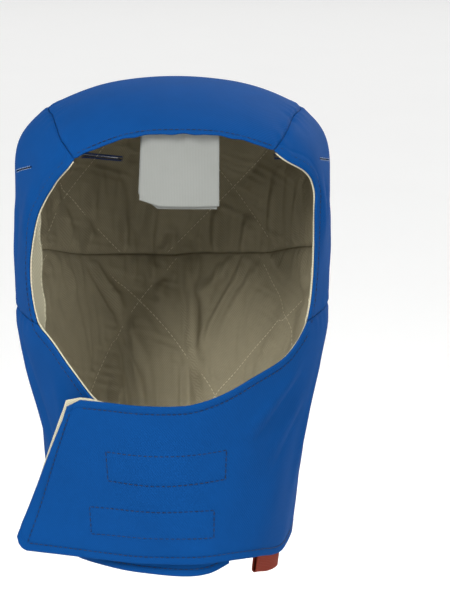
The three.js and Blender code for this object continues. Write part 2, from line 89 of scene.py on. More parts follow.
# Crown
CROWN_RISE = 139.0
DOME_BASE = 85.0
DOME_ARC = 125.0
DOME_FULLNESS = 2.3
DOME_LEAN = 25.0
CROWN_SWAY = 2.4
SWAY_CLIMB = 90.0
SEAT_HEIGHT = CROWN_RISE - SHELL - SLACK["crown"] - QUILT_TOP
MM_PER_DEGREE = 1.73
BAND_HEIGHT = 125.0

# Seam of the crown top, and its hemmed edge over the forehead
ARCH_TOP = 117.6
ARCH_FLATNESS = 2.7
ARCH_TURN = 141.5
CORNER_RISE = {"left": 102.5, "right": 106.5}
TOP_SEAM_RISE = 121.8
TOP_SEAM_TURN = 104.0
FOREHEAD_HEM = 10.5
FOREHEAD_HEM_TAPER = 16.0

# Cape and chin flap
CAPE_HEMMED = {"from": 121.0, "to": 128.0}
FLAP_LIFT = 7.0
FLAP_LIFT_FROM = 110.0
FLAP_LIFT_TO = 170.0
FLAP_LIFT_DROP = 25.0
FLAP_STRAIGHT_FROM = 198.0
FLAP_END = {"top": 218.0, "hem": 245.5}
FLAP_SPLAY_FROM = 185.0
FLAP_CLIP = {"along": 9.0, "down": 5.0}
FLAP_CORNER_RADIUS = 8.0
FLAP_HEIGHT = 105.0
UNDERLAP_END = -205.0
BACKING_FROM = 146.2
BACKING_PEEP = 0.8
PEEP_TAPER = 2.2  # of the peep, down the flap's height
PEEP_LEAST = -0.8  # of the peep, so it ends up hidden
PEEP_TURNS = {"from": 200.0, "to": 211.0}
BACKING_TUCK = 1.6
BACKING_CLIP = 0.5
BACKING_HEM = 1.0

# Facing, lining, label and tab
FACING_WIDTH = 11.5
FACING_RUN = 260.0
FACING_START = 0.985
FACING_PEEP = 0.7
LINING_HEM = 4.0
LINING_GAP = -0.6  # sewn together
LINING_END = {"left": -203.0, "right": 145.2}
LINED_SHARE = 0.72  # of the solid's setback, so that the lining tucks under the facing
QUILT_PITCH = 130.0
LABEL_TURNS = {"from": 161.8, "to": 193.8}
TAB_TURNS = {"from": 118.0, "to": 140.0}
TAB_DROP = 11.5
TAB_TUCK = 3.2
TAB_FOLD = 1.4
TAB_CLOTH = 0.8
SLOT_WIDTH = 0.9
SLOT_CUT = 36.0

# Hems and seams of the shell
HEM_STITCH = 5.0
ARCH_STITCH = 3.2
HEM_ROWS = (0.0, 1.4, 3.2, 4.5, 5.0, 5.5, 7.0, 9.0)
ARCH_ROWS = (0.0, 0.8, 2.0, 2.8, 3.2, 3.6, 4.8, 7.0)
SEAM_ROWS = (0.0, 0.7, 1.6, 3.0, 5.0)
BACKING_ROWS = (0.0, 2.0, 5.0)
FLAP_COLUMNS = 24
ALL_RIMS = ("first", "last", "start", "end")
RIM_ROLL = 0.35  # of the thickness
ROLLED_MOST = 2.0  # a thicker piece rolls no more than one of this thickness

# Quilting and thread
CLOTH_FRAMES = 30
PUFF_REACH = 5.0
SLOT_SEWN = 3.0
FACING_TAKES = 4.8  # of the room behind a facing's loose edge
LINING_NEAREST = -0.6
STAND_REACH = 16.0
FOLD_DEEPEST = -0.8
QUILT_LINES = range(-4, 5)
CROWN_LINED = 112.0
FACE_TURN = 118.0
STITCH_MARGIN = 1.5
LEAST_POINTS = 12
THREAD_DEPTH = -0.1
TAPE_STITCH_DEPTH = -0.3
THREAD_SUNK = 0.05
HOOK_HEIGHT = 1.3
HOOK_WIRE = 0.22

# Stage
CAMERA_LENS = 93.75
CAMERA_SENSOR = 36.0
CAMERA_SIDEWAYS = math.radians(1.92)  # the hood stands left of the middle of the picture
FLOOR_RADIUS = 17.0
FLOOR_GLOW = 0.2
HORIZON_GLOW = 0.86
SKY_GLOW = 0.25

# Distances that stand for far away and for no length
FAR = 1e3
TINY = 1e-9

Section = namedtuple("Section", "climb half_width front back")
SHELL_SECTIONS = (
    Section(-170, 76.5, 86, 92),
    Section(-110, 82.7, 89, 92),
    Section(-67, 86.5, 93, 96),
    Section(-35, 93, 98, 102),
    Section(-12, 98.8, 101, 106),
    Section(0, 98.4, 100.8, 105.2),
    Section(14, 99, 102, 107),
    Section(50, 99, 103, 108),
    Section(85, 98.6, 103, 108),
)

# Dents in the shell; one with a negative depth is a bulge.
Dent = namedtuple("Dent", "turn climb wide tall depth")
DENTS = (
    Dent(56, 108, 13, 24, 4),
    Dent(-36, 102, 13, 24, 3.5),
    Dent(108, 97, 12, 15, 2),
    Dent(-110, 94, 12, 15, 2.5),
    Dent(-92, 128, 28, 26, -3),
    Dent(0, -62, 42, 30, 3),
    Dent(62, -70, 15, 45, 2.5),
    Dent(-62, -70, 15, 45, 2.5),
)

# Slow waves of the hanging cloth: waves in a full turn, millimetres up to a wave, height and phase.
Wave = namedtuple("Wave", "round up height phase")
DRAPE = (
    Wave(3, -260, 0.8, 1.2),
    Wave(5, 170, 0.7, 0.4),
    Wave(8, -120, 0.5, 2.1),
    Wave(13, 90, 0.3, 4.0),
)

# Single soft folds: the place of both ends, width and height, all in the cloth.
Fold = namedtuple("Fold", "turn climb end_turn end_climb width height")
FOLDS = (
    Fold(66, 84, 84, 44, 6, 2.4),
    Fold(-43, 81, -60, 44, 6, 2.4),
    Fold(44, 116, 40, 90, 5, 1.8),
    Fold(-22, 116, -20, 86, 5, 2.0),
    Fold(118, 84, 112, 48, 6, 1.5),
    Fold(-119, 82, -112, 46, 6, 1.5),
    Fold(-100, 70, -92, 20, 7, 1.4),
    Fold(96, 66, 88, 18, 7, 1.4),
    Fold(70, -16, 52, -80, 9, 2.4),
    Fold(-72, -20, -50, -90, 9, 2.2),
    Fold(100, -20, 112, -110, 8, 2.0),
    Fold(-104, -18, -112, -100, 8, 2.0),
    Fold(12, -20, 26, -110, 10, 1.8),
    Fold(-18, -30, -30, -120, 10, 1.7),
    Fold(128, -28, 150, -60, 6, 2.0),
    Fold(120, -50, 140, -84, 7, 1.6),
    Fold(-132, -30, -128, -90, 6, 1.6),
)

# Folds of the gathered lining, in the crown and below the lining seam.
CROWN_FOLDS = (
    Fold(-22.5, 40, -20, 8, 4, 4.2),
    Fold(-38.5, 62, -37, 12, 5, 4.6),
    Fold(-57, 62, -45, 14, 5, 4.6),
    Fold(-74, 70, -62, 20, 5, 4.2),
    Fold(-8, 48, -12, 8, 4, 3.2),
    Fold(0, 24, -5.5, 4, 4, 3.6),
    Fold(19.5, 44, 18.5, 9, 4.5, 4.2),
    Fold(34, 38, 31.5, 13, 4, 3.6),
    Fold(48, 66, 45.5, 15, 5, 4.2),
    Fold(64, 62, 60, 22, 5, 4.2),
)
NECK_FOLDS = (
    Fold(-36.5, 12, -22.5, -30, 5, 5.2),
    Fold(-22.5, -34, -12, -66, 6, 4.8),
    Fold(-51, 8, -54, -22, 6, 4.2),
    Fold(-9.5, 6, -3.5, -25, 5, 3.6),
    Fold(-22, -52, -15, -97, 6, 4.8),
    Fold(-33, -94, -29, -74, 6, 4.2),
    Fold(8, 4, 10.5, -70, 5, 5.6),
    Fold(8.5, -70, 9, -100, 6, 5.2),
    Fold(28, 8, 10, -25, 4.5, 4.0),
    Fold(36, 12, 15.5, -57, 5, 5.2),
    Fold(42, 10, 22, -55, 4.5, 4.8),
    Fold(48, 16, 56, 2, 4, 3.4),
    Fold(68, 20, 86, -45, 7, 4.0),
    Fold(-70, 22, -88, -45, 7, 4.0),
)

FaceEdge = namedtuple("FaceEdge", "rise left right lined")
FACE_EDGE = (
    FaceEdge(0, 124.5, 123.5, 9.2),
    FaceEdge(0.1, 121.8, 121.2, 8.8),
    FaceEdge(0.25, 118.2, 120, 8.2),
    FaceEdge(0.42, 118.6, 120.6, 8),
    FaceEdge(0.6, 121.8, 122, 8.4),
    FaceEdge(0.72, 127, 123, 9.2),
    FaceEdge(0.83, 133.4, 128.8, 10.5),
    FaceEdge(0.92, 138.4, 136.6, 11),
    FaceEdge(1, 141.5, 141.5, 11.5),
)

# How far the loose inner edge of each facing stands off the shell, and the lining with it.
EdgeStand = namedtuple("EdgeStand", "climb left right")
EDGE_STAND = (
    EdgeStand(-60, 2, 2),
    EdgeStand(-24, 4.5, 2),
    EdgeStand(-8, 8, 2),
    EdgeStand(10, 9.5, 2.2),
    EdgeStand(40, 9.5, 2.6),
    EdgeStand(62, 8.5, 2.4),
    EdgeStand(82, 5, 2.2),
    EdgeStand(98, 2.5, 2),
    EdgeStand(120, 2, 2),
)

Edge = namedtuple("Edge", "turn climb")
FLAP_TOP = (
    Edge(123.5, 0), Edge(130, -7.5), Edge(138, -17), Edge(151, -24.5), Edge(166, -34),
    Edge(177, -38.5), Edge(205, -38), Edge(222, -38),
)
UNDERLAP_TOP = (
    Edge(124.5, 0), Edge(134, -9), Edge(140.5, -22), Edge(148, -39), Edge(158, -50),
    Edge(172, -56), Edge(205, -58),
)
HEM = (
    Edge(-205, -147), Edge(-195, -151.5), Edge(-180, -152), Edge(-150, -150), Edge(-120, -153),
    Edge(-90, -154), Edge(-60, -147), Edge(-30, -139), Edge(0, -137), Edge(30, -139),
    Edge(60, -147), Edge(90, -155), Edge(117, -155), Edge(128, -152.5), Edge(140, -147),
    Edge(156, -142.7), Edge(175, -141.4), Edge(200, -141.5), Edge(225, -140.8), Edge(250, -140.3),
)
LINING_SEAM = (
    Edge(0, 7), Edge(40, 14), Edge(65, 25), Edge(80, 29), Edge(98, 21), Edge(114, 5),
)
NECK_LINING_TOP = {
    "right": (
        Edge(114, 5), Edge(118, -4), Edge(124, -12), Edge(131, -20), Edge(139, -29),
        Edge(147, -36),
    ),
    "left": (
        Edge(114, 5), Edge(118, -4), Edge(125, -13), Edge(132, -28), Edge(140, -48),
        Edge(150, -61), Edge(172, -67), Edge(205, -68),
    ),
}

# Quilting lines: each leans across by its height times lean, and start is its place on the seam.
Quilting = namedtuple("Quilting", "lean start")
CROWN_QUILTING = (Quilting(-1, -28), Quilting(1, -13))
NECK_QUILTING = (Quilting(-1, -50), Quilting(1, -2))

Slot = namedtuple("Slot", "turn climb end_turn end_climb")
SLOTS = (
    Slot(-23.5, 78, -42, 83.5),
    Slot(46, 82, 65, 86),
    Slot(-99, 86, -116, 94),
    Slot(99, 93, 115, 99),
)

HookTape = namedtuple("HookTape", "piece node start end top bottom sag")
HOOK_TAPES = (
    HookTape("hook_strip_upper", "hook_tape_upper", 160, 205, -69.5, -88.5, 0.9),
    HookTape("hook_strip_lower", "hook_tape_lower", 164.5, 213.5, -107.5, -125, -1.2),
)

# A facing peeps past the edge of the crown; low_inset is where it starts along the cape, and sign is the
# direction of its turn.
Facing = namedtuple("Facing", "piece node side sign last_turn crown_share low_inset turned_in")
FACINGS = (
    Facing("twill_edge_left", "edge_facing_left", "left", -1, 203, 0.5, -0.7, 0.0),
    Facing("twill_edge_right", "edge_facing_right", "right", 1, 145.6, 0.72, 1.6, 1.9),
)

# Leaves of the label: place behind the arch, turn, height of the foot, how far it hangs back, cut corner.
Leaf = namedtuple("Leaf", "piece node seat turn_shift foot backward corner curl")
LABEL_LEAVES = (
    Leaf("label_leaf_front", "care_label_front", 5, 0, 73.0, 2, 3.5, 1.2),
    Leaf("label_leaf_back", "care_label_back", 7, 0.6, 71.0, 3.2, 9.0, -0.8),
)

Lamp = namedtuple("Lamp", "name place aim size spread power")
LAMPS = (
    Lamp("key", (-0.95, -1.6, 1.15), (0, 0, -0.15), 0.8, 60.0, 5.6),
    Lamp("fill", (1.5, -1.3, 0.5), (0, 0, -0.15), 1.0, 70.0, 2.6),
    Lamp("back", (1.1, 1.8, 0.7), (0, 0, -0.15), 0.8, 60.0, 3.4),
    Lamp("ceiling", (0, 2.0, 8.0), (0, 2.0, 0), 40.0, 180.0, 2100.0),
)

# Cloth of the lining while it settles between its quilting
LOOSE_CLOTH = {
    "vertex_group_mass": "sewn",
    "quality": 5,
    "mass": 0.02,
    "tension_stiffness": 15,
    "compression_stiffness": 15,
    "shear_stiffness": 5,
    "bending_stiffness": 0.02,
    "air_damping": 2.0,
    "use_pressure": True,
    "uniform_pressure_force": 150,
}
LOOSE_WEIGHT = 0.2

# Corners and faces of a box, in halves of its sides
BOX_CORNERS = np.array([(x, y, z) for z in (-1, 1) for x, y in ((-1, -1), (1, -1), (1, 1), (-1, 1))])
BOX_FACES = np.array(((0, 3, 2, 1), (4, 5, 6, 7), (0, 1, 5, 4), (1, 2, 6, 5), (2, 3, 7, 6), (3, 0, 4, 7)))


def linear(hex_code):
    """Linear colour of an sRGB hex code."""
    parts = [int(hex_code[i : i + 2], 16) / 255 for i in (1, 3, 5)]
    return tuple(c / 12.92 if c <= 0.04045 else ((c + 0.055) / 1.055) ** 2.4 for c in parts)


def colour_of(name, description, hex_code):
    """Setting for a colour, by its sRGB hex code."""
    return bpy.props.FloatVectorProperty(
        name=name, description=description, subtype="COLOR", size=3, min=0.0, max=1.0, default=linear(hex_code)
    )


def length_of(name, description, default, least):
    """Setting for a length, in metres."""
    return bpy.props.FloatProperty(name=name, description=description, unit="LENGTH", default=default, min=least)


def share_of(name, description, default, most):
    """Setting for a share, from none upwards."""
    return bpy.props.FloatProperty(
        name=name, description=description, subtype="FACTOR", default=default, min=0.0, max=most
    )


class ShellSettings(bpy.types.PropertyGroup):
    """The woven outer cloth."""

    colour: colour_of("Shell colour", "Colour of the woven shell", "#073d77")
    rib: length_of("Shell rib", "Spacing of the shell's twill ribs", 1.3 * MM, 0.2 * MM)
    drape: share_of("Drape", "Share of the shell's soft folds, 1 as worn", 1.0, 2.0)


class LiningSettings(bpy.types.PropertyGroup):
    """The quilted lining."""

    colour: colour_of("Lining colour", "Colour of the lining's twill", "#827b66")
    rib: length_of("Lining rib", "Spacing of the lining's twill ribs", 1.2 * MM, 0.2 * MM)
    gather: share_of("Gather", "Extra width of lining cloth that its seams gather in", 0.09, 0.3)
    fill: share_of("Fill", "How full the batting is, from slack to tight", 0.35, 1.0)


class TrimSettings(bpy.types.PropertyGroup):
    """Twill tape, label, ribbon and thread."""

    cream: colour_of("Twill colour", "Colour of the twill facings and of the flap's backing", "#b3ae97")
    # Label colour: a grey, darker than the off-white taffeta, as painted shade of the crown the label hangs in.
    label: colour_of("Label colour", "Colour of the blank care label", "#828480")
    ribbon: colour_of("Ribbon colour", "Colour of the blank hem tab", "#6e2b1f")
    hook_pitch: length_of("Hook spacing", "Spacing of the hooks on the hook tapes", 2.0 * MM, 1.0 * MM)
    stitch: length_of("Stitch length", "Length of one running stitch", 2.5 * MM, 1.0 * MM)
    stitch_gap: length_of("Stitch gap", "Cloth between two running stitches", 0.7 * MM, 0.2 * MM)
    thread: length_of("Thread thickness", "Thickness of the sewing thread", 0.5 * MM, 0.1 * MM)


class StageSettings(bpy.types.PropertyGroup):
    """Floor, light and camera."""

    floor_drop: length_of("Floor drop", "Height of the hood's lowest point above the floor", 0.3, 0.0)
    camera_distance: length_of("Camera distance", "From the camera to the middle of the crown seam", 1.0, 0.3)
    camera_height: bpy.props.FloatProperty(
        name="Camera elevation",
        description="Angle of the camera above the crown seam",
        subtype="ANGLE",
        default=math.radians(13.5),
    )


def along(table, column, place):
    """Value of a table's column at a place along its first column, on a smooth curve through its rows."""
    keys = np.array([row[0] for row in table], float)
    values = np.array([getattr(row, column) for row in table], float)
    at = np.clip(place, keys[0], keys[-1])
    i = np.clip(np.searchsorted(keys, at, side="left") - 1, 0, len(keys) - 2)
    last = len(keys) - 1
    after = np.minimum(np.arange(last + 1) + 1, last)
    before = np.maximum(np.arange(last + 1) - 1, 0)
    slope = (values[after] - values[before]) / (keys[after] - keys[before])
    span = keys[i + 1] - keys[i]
    t = (at - keys[i]) / span
    ease = t * t * (3 - 2 * t)
    lead = t * (1 - t) ** 2 * span * slope[i]
    trail = t * t * (1 - t) * span * slope[i + 1]
    return values[i] + (values[i + 1] - values[i]) * ease + lead - trail


def lerp(start, end, share):
    return start + (end - start) * share


def smooth(value, low, high):
    t = np.clip((value - low) / (high - low), 0, 1)
    return t * t * (3 - 2 * t)


def bell(value, width):
    return np.exp(-((value / width) ** 2))


def wrapped(turn):
    """The same turn between -180 and 180."""
    return (turn + 180.0) % 360.0 - 180.0


def climb_at(height):
    """Climb at which the dome reaches a height above the crown seam."""
    share = np.clip((height - DOME_BASE) / (CROWN_RISE - DOME_BASE), 0, 1)
    arc = DOME_BASE + DOME_ARC * np.arcsin(share ** (DOME_FULLNESS / 2)) / (math.pi / 2)
    return np.where(height <= DOME_BASE, height, arc)


def cloth_run(row):
    """Start of a fold or slot in the flat cloth, and the run to its end, in millimetres."""
    start = np.array((row.turn * MM_PER_DEGREE, row.climb))
    return start, np.array((row.end_turn * MM_PER_DEGREE, row.end_climb)) - start


def folded(folds, turn, climb):
    """Height of single folds at a place: each a soft ridge with a sharp crease beside it, fading at both ends."""
    out = np.zeros(np.broadcast(turn, climb).shape)
    for fold in folds:
        start, run = cloth_run(fold)
        across = turn * MM_PER_DEGREE - start[0]
        up = climb - start[1]
        share = (across * run[0] + up * run[1]) / (run @ run)
        aside = (across * run[1] - up * run[0]) / np.linalg.norm(run)
        fade = smooth(share, -0.15, 0.25) * (1 - smooth(share, 0.6, 1.2))
        crease = np.exp(-np.abs(aside - 1.5 * fold.width) / (0.5 * fold.width))
        out = out + fold.height * fade * (bell(aside, fold.width) - 0.6 * crease)
    return out


def drape_at(turn, climb):
    """How far the cloth stands out of its plain shape at a place, in waves and single folds."""
    swing = np.radians(turn)
    out = np.zeros(np.broadcast(turn, climb).shape)
    for wave in DRAPE:
        out = out + wave.height * np.sin(wave.round * swing + 2 * math.pi * climb / wave.up + wave.phase)
    out = out + folded(FOLDS, turn, climb)
    return out * bpy.context.scene.liner_shell.drape


def shell_point(turn, climb, lift=0.0):
    """Point of the shell's outer face, with lift outwards from it."""
    turn, climb = np.broadcast_arrays(np.asarray(turn, float), np.asarray(climb, float))
    wall = np.minimum(climb, DOME_BASE)
    arc = np.clip((climb - DOME_BASE) / DOME_ARC, 0, 1) * math.pi / 2
    rise = np.sin(arc) ** (2 / DOME_FULLNESS)
    shrink = np.maximum(np.cos(arc), 0) ** (2 / DOME_FULLNESS)
    swing = np.radians(turn)
    out = lift + drape_at(turn, climb) * shrink
    for dent in DENTS:
        out = out - dent.depth * bell(turn - dent.turn, dent.wide) * bell(climb - dent.climb, dent.tall) * shrink
    back = along(SHELL_SECTIONS, "back", wall)
    front = along(SHELL_SECTIONS, "front", wall)
    depth = np.where(np.cos(swing) > 0, back, front)
    half_width = along(SHELL_SECTIONS, "half_width", wall)
    x = (half_width * shrink + out) * np.sin(swing) + CROWN_SWAY * smooth(climb, 0, SWAY_CLIMB)
    y = DOME_LEAN * rise * rise + (depth * shrink + out) * np.cos(swing)
    z = wall + (CROWN_RISE - DOME_BASE) * rise
    return np.stack((x, y, z), axis=-1)


def cape_point(turn, climb):
    """Point of the cape's outer face: the shell, lifted over the underlap at the chin, then straight on."""
    turn, climb = np.broadcast_arrays(np.asarray(turn, float), np.asarray(climb, float))
    lift = FLAP_LIFT * smooth(turn, FLAP_LIFT_FROM, FLAP_LIFT_TO) * smooth(-climb, 0, FLAP_LIFT_DROP)
    past = np.maximum(turn - FLAP_STRAIGHT_FROM, 0)
    start = shell_point(turn - past, climb, lift)
    step = shell_point(turn - past + 1, climb, lift) - start
    return start + step * past[..., None]


def below(surface, turn, climb, depth):
    """Point at a depth below a surface, square to it."""
    turn, climb, depth = np.broadcast_arrays(*(np.asarray(x, float) for x in (turn, climb, depth)))
    step = 0.4
    round_ = surface(turn + step, climb) - surface(turn - step, climb)
    up = surface(turn, climb + step) - surface(turn, climb - step)
    outward = np.cross(up, round_)
    size = np.linalg.norm(outward, axis=-1, keepdims=True)
    outward = np.where(size > TINY, outward / np.maximum(size, TINY), np.array((0.0, 0.0, 1.0)))
    return surface(turn, climb) - outward * depth[..., None]


def by_side(turn, left, right):
    return np.where(np.asarray(turn) < 0, left, right)


def crown_top_rise(turn):
    """Height of the crown top's edge: an arch over the forehead, then the seam to the crown band."""
    turn = wrapped(np.asarray(turn, float))
    corner = by_side(turn, CORNER_RISE["left"], CORNER_RISE["right"])
    arch_share = np.sin(np.radians(turn)) / math.sin(math.radians(ARCH_TURN))
    arch = lerp(ARCH_TOP, corner, np.abs(arch_share) ** ARCH_FLATNESS)
    share = np.clip((ARCH_TURN - np.abs(turn)) / (ARCH_TURN - TOP_SEAM_TURN), 0, 1)
    seam = lerp(corner, TOP_SEAM_RISE, share * (2 - share))
    return np.where(np.abs(turn) > ARCH_TURN, arch, seam)


def cape_top(turn):
    round_ = np.abs(turn)
    return by_side(turn, along(UNDERLAP_TOP, "climb", round_), along(FLAP_TOP, "climb", round_))


def hem_at(turn):
    return along(HEM, "climb", turn)


def lining_seam(turn):
    return along(LINING_SEAM, "climb", np.abs(turn))


def neck_lining_top(turn):
    round_ = np.abs(turn)
    edge = by_side(
        turn,
        along(NECK_LINING_TOP["left"], "climb", round_),
        along(NECK_LINING_TOP["right"], "climb", round_),
    )
    return np.where(round_ < NECK_LINING_TOP["left"][0].turn, lining_seam(turn), edge)


def edge_stand(turn, climb):
    return by_side(turn, along(EDGE_STAND, "left", climb), along(EDGE_STAND, "right", climb))


def spread(near_first, near_last, count):
    """Shares and offsets of lines between two edges, close together at set distances from each."""
    inner = np.linspace(0, 1, count + 2)[1:-1]
    reach_first, reach_last = near_first[-1], near_last[-1]
    share = np.concatenate((np.zeros(len(near_first)), inner, np.ones(len(near_last))))
    offset = np.concatenate((near_first, lerp(reach_first, -reach_last, inner), -np.array(near_last[::-1])))
    return share, offset


def from_edge(share, offset):
    """Distance of spread lines from their nearer edge, and large for those between."""
    return np.where(share == 0, offset, FAR), np.where(share == 1, -offset, FAR)


def hem_relief(distance, stitch=HEM_STITCH):
    """Relief of a stitched hem: doubled cloth out to the stitches, which pull a groove."""
    doubled = 0.25 * (1 - smooth(distance, stitch - 0.8, stitch + 1.2))
    groove = 0.45 * bell(distance - stitch, 0.5)
    return doubled - groove


def seam_relief(distance):
    """Relief of a plain seam, whose edges roll in."""
    rolled_in = -0.8 * bell(distance, 1.3)
    allowance = 0.25 * bell(distance - 3.5, 2.0)
    return rolled_in + allowance


def grid_faces(index):
    """Quads of a grid of vertex numbers, or of anything else that its corners carry."""
    corners = np.stack((index[:-1, :-1], index[:-1, 1:], index[1:, 1:], index[1:, :-1]), axis=2)
    return corners.reshape(-1, 4, *index.shape[2:])


def rolled(face, roll, rims):
    """The face with its rimmed borders drawn back a little, for a rim to round them."""
    out = face.copy()
    for axis, names in enumerate((("first", "last"), ("start", "end"))):
        lines, drawn = np.moveaxis(face, axis, 0), np.moveaxis(out, axis, 0)
        for rim, edge, inner in zip(names, (0, -1), (1, -2)):
            if rim in rims:
                step = lines[edge] - lines[inner]
                drawn[edge] -= step / np.maximum(np.linalg.norm(step, axis=-1, keepdims=True), TINY) * roll
    return out


def closed_wall(name, outer, inner, cloth, material, rims=ALL_RIMS):
    """Closed piece between two faces on one grid, with a rounded rim along the borders named in rims.

    A border without a rim is one that closes on itself, as a ring's ends and a pole do.
    """
    thickness = float(np.median(np.linalg.norm(outer - inner, axis=-1)))
    roll = RIM_ROLL * min(thickness, ROLLED_MOST)
    middle = (outer + inner) / 2
    pad = tuple(tuple(int(rim in rims) for rim in ALL_RIMS[i : i + 2]) for i in (0, 2))
    edge_points = np.pad(middle, (*pad, (0, 0)), mode="edge")
    rows, columns = edge_points.shape[:2]
    on_face = np.zeros((rows, columns), bool)
    on_face[pad[0][0] : rows - pad[0][1], pad[1][0] : columns - pad[1][1]] = True
    shared = np.full((rows, columns), -1)
    shared[~on_face] = np.arange((~on_face).sum())
    count = int(on_face.sum())
    first_outer = int((~on_face).sum())
    index = {}
    for side, start in (("outer", first_outer), ("inner", first_outer + count)):
        index[side] = shared.copy()
        index[side][on_face] = start + np.arange(count)
    points = np.concatenate(
        (
            edge_points[~on_face],
            rolled(outer, roll, rims).reshape(-1, 3),
            rolled(inner, roll, rims).reshape(-1, 3),
        )
    )
    quads = np.concatenate((grid_faces(index["outer"]), grid_faces(index["inner"])[:, ::-1]))
    corner_cloth = np.pad(cloth, (*pad, (0, 0)), mode="edge")
    uv_quads = grid_faces(corner_cloth)
    uv = np.concatenate((uv_quads, uv_quads[:, ::-1]))
    return piece_from(name, points, quads, uv, material)


def in_frame(points):
    """Points in the row's frame, in metres, from millimetres above the crown seam."""
    return (points - np.array((0.0, 0.0, SEAT_HEIGHT))) * MM


def linked(name, data):
    """New object in the scene."""
    obj = bpy.data.objects.new(name, data)
    bpy.context.scene.collection.objects.link(obj)
    return obj


def piece_from(name, points, quads, uv, material):
    """Object at the origin with that mesh, faces out, from points in millimetres above the crown seam."""
    world = in_frame(points)
    corners = world[quads]
    volume = np.einsum("ij,ij->i", corners[:, 0], np.cross(corners[:, 1], corners[:, 2])).sum()
    volume += np.einsum("ij,ij->i", corners[:, 0], np.cross(corners[:, 2], corners[:, 3])).sum()
    if volume < 0:
        quads, uv = quads[:, ::-1], uv[:, ::-1]
    mesh = bpy.data.meshes.new(name)
    mesh.vertices.add(len(world))
    mesh.vertices.foreach_set("co", world.astype(np.float32).ravel())
    mesh.loops.add(quads.size)
    mesh.loops.foreach_set("vertex_index", quads.astype(np.int32).ravel())
    mesh.polygons.add(len(quads))
    mesh.polygons.foreach_set("loop_start", np.arange(0, quads.size, 4, dtype=np.int32))
    mesh.polygons.foreach_set("loop_total", np.full(len(quads), 4, np.int32))
    mesh.update(calc_edges=True)
    layer = mesh.uv_layers.new(name="cloth")
    layer.data.foreach_set("uv", (uv * MM).astype(np.float32).ravel())
    weld = bmesh.new()
    weld.from_mesh(mesh)
    bmesh.ops.remove_doubles(weld, verts=weld.verts, dist=1e-6)
    bmesh.ops.dissolve_degenerate(weld, edges=weld.edges, dist=1e-7)
    weld.to_mesh(mesh)
    weld.free()
    mesh.polygons.foreach_set("use_smooth", np.ones(len(mesh.polygons), bool))
    mesh.materials.append(material)
    return linked(name, mesh)


def as_plain_mesh(obj):
    """The object with its modifiers' result as its own mesh."""
    graph = bpy.context.evaluated_depsgraph_get()
    mesh = bpy.data.meshes.new_from_object(obj.evaluated_get(graph), depsgraph=graph)
    obj.modifiers.clear()
    obj.data = mesh
    mesh.name = obj.name
    return obj


def settle_piece(obj, slot, *nodes):
    """The piece rides with the hood and stands for its solids, which it hides. Its slot is not used."""
    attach(obj, "root")
    if nodes:
        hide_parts(*nodes)
    return obj


def node(tree, kind, inputs=None, **settings):
    """Adds a node with its settings, and links or sets its inputs."""
    made = tree.nodes.new(kind)
    for key, value in settings.items():
        setattr(made, key, value)
    for key, value in (inputs or {}).items():
        if isinstance(value, bpy.types.NodeSocket):
            tree.links.new(value, made.inputs[key])
        else:
            made.inputs[key].default_value = value
    return made


# Wave Texture runs through one wave in this much of its input at scale 1.
WAVE_LENGTH = math.pi / 10
WEFT_SHARE = 0.8  # of the rib's spacing
WEFT_HEIGHT = 0.3  # share of the weft in the relief
CLOUD_SIZE = 0.03  # patches of slightly faded cloth
TWIST_SIZE = 0.8 * MM
BUMP_DEPTH = 0.25 * MM

Weave = namedtuple("Weave", "angle contrast relief mottle roughness sheen")


def shaded(colour, share):
    """Colour with its brightness changed, ready for a socket."""
    return (*(min(1.0, c * share) for c in colour), 1.0)


def bare_material(name):
    """New material and its empty tree."""
    material = bpy.data.materials.new(name)
    material.use_nodes = True
    material.node_tree.nodes.clear()
    return material, material.node_tree


def toned(tree, share, first, last):
    """Colour between two, by a share."""
    return node(tree, "ShaderNodeMix", {0: share, 6: first, 7: last}, data_type="RGBA").outputs[2]


def ranged(tree, value, low, high, **inputs):
    """Value from low to high, as another goes through its range."""
    inputs.update({"Value": value, "To Min": low, "To Max": high})
    return node(tree, "ShaderNodeMapRange", inputs).outputs["Result"]


def clouds(tree, size, **inputs):
    """Noise with patches of a size, fixed to the piece."""
    place = node(tree, "ShaderNodeTexCoord").outputs["Object"]
    return node(tree, "ShaderNodeTexNoise", {"Vector": place, "Scale": 1 / size, **inputs}).outputs["Fac"]


def ribs(tree, place, spacing, bands, **inputs):
    """Slightly uneven ribs with a spacing, across one direction of the cloth."""
    waves = {"Vector": place, "Scale": WAVE_LENGTH / spacing, "Distortion": 0.5, **inputs}
    return node(tree, "ShaderNodeTexWave", waves, bands_direction=bands).outputs["Fac"]


def coated(tree, inputs):
    """Ends a material's tree in a surface with these inputs."""
    surface = node(tree, "ShaderNodeBsdfPrincipled", inputs).outputs["BSDF"]
    node(tree, "ShaderNodeOutputMaterial", {"Surface": surface})


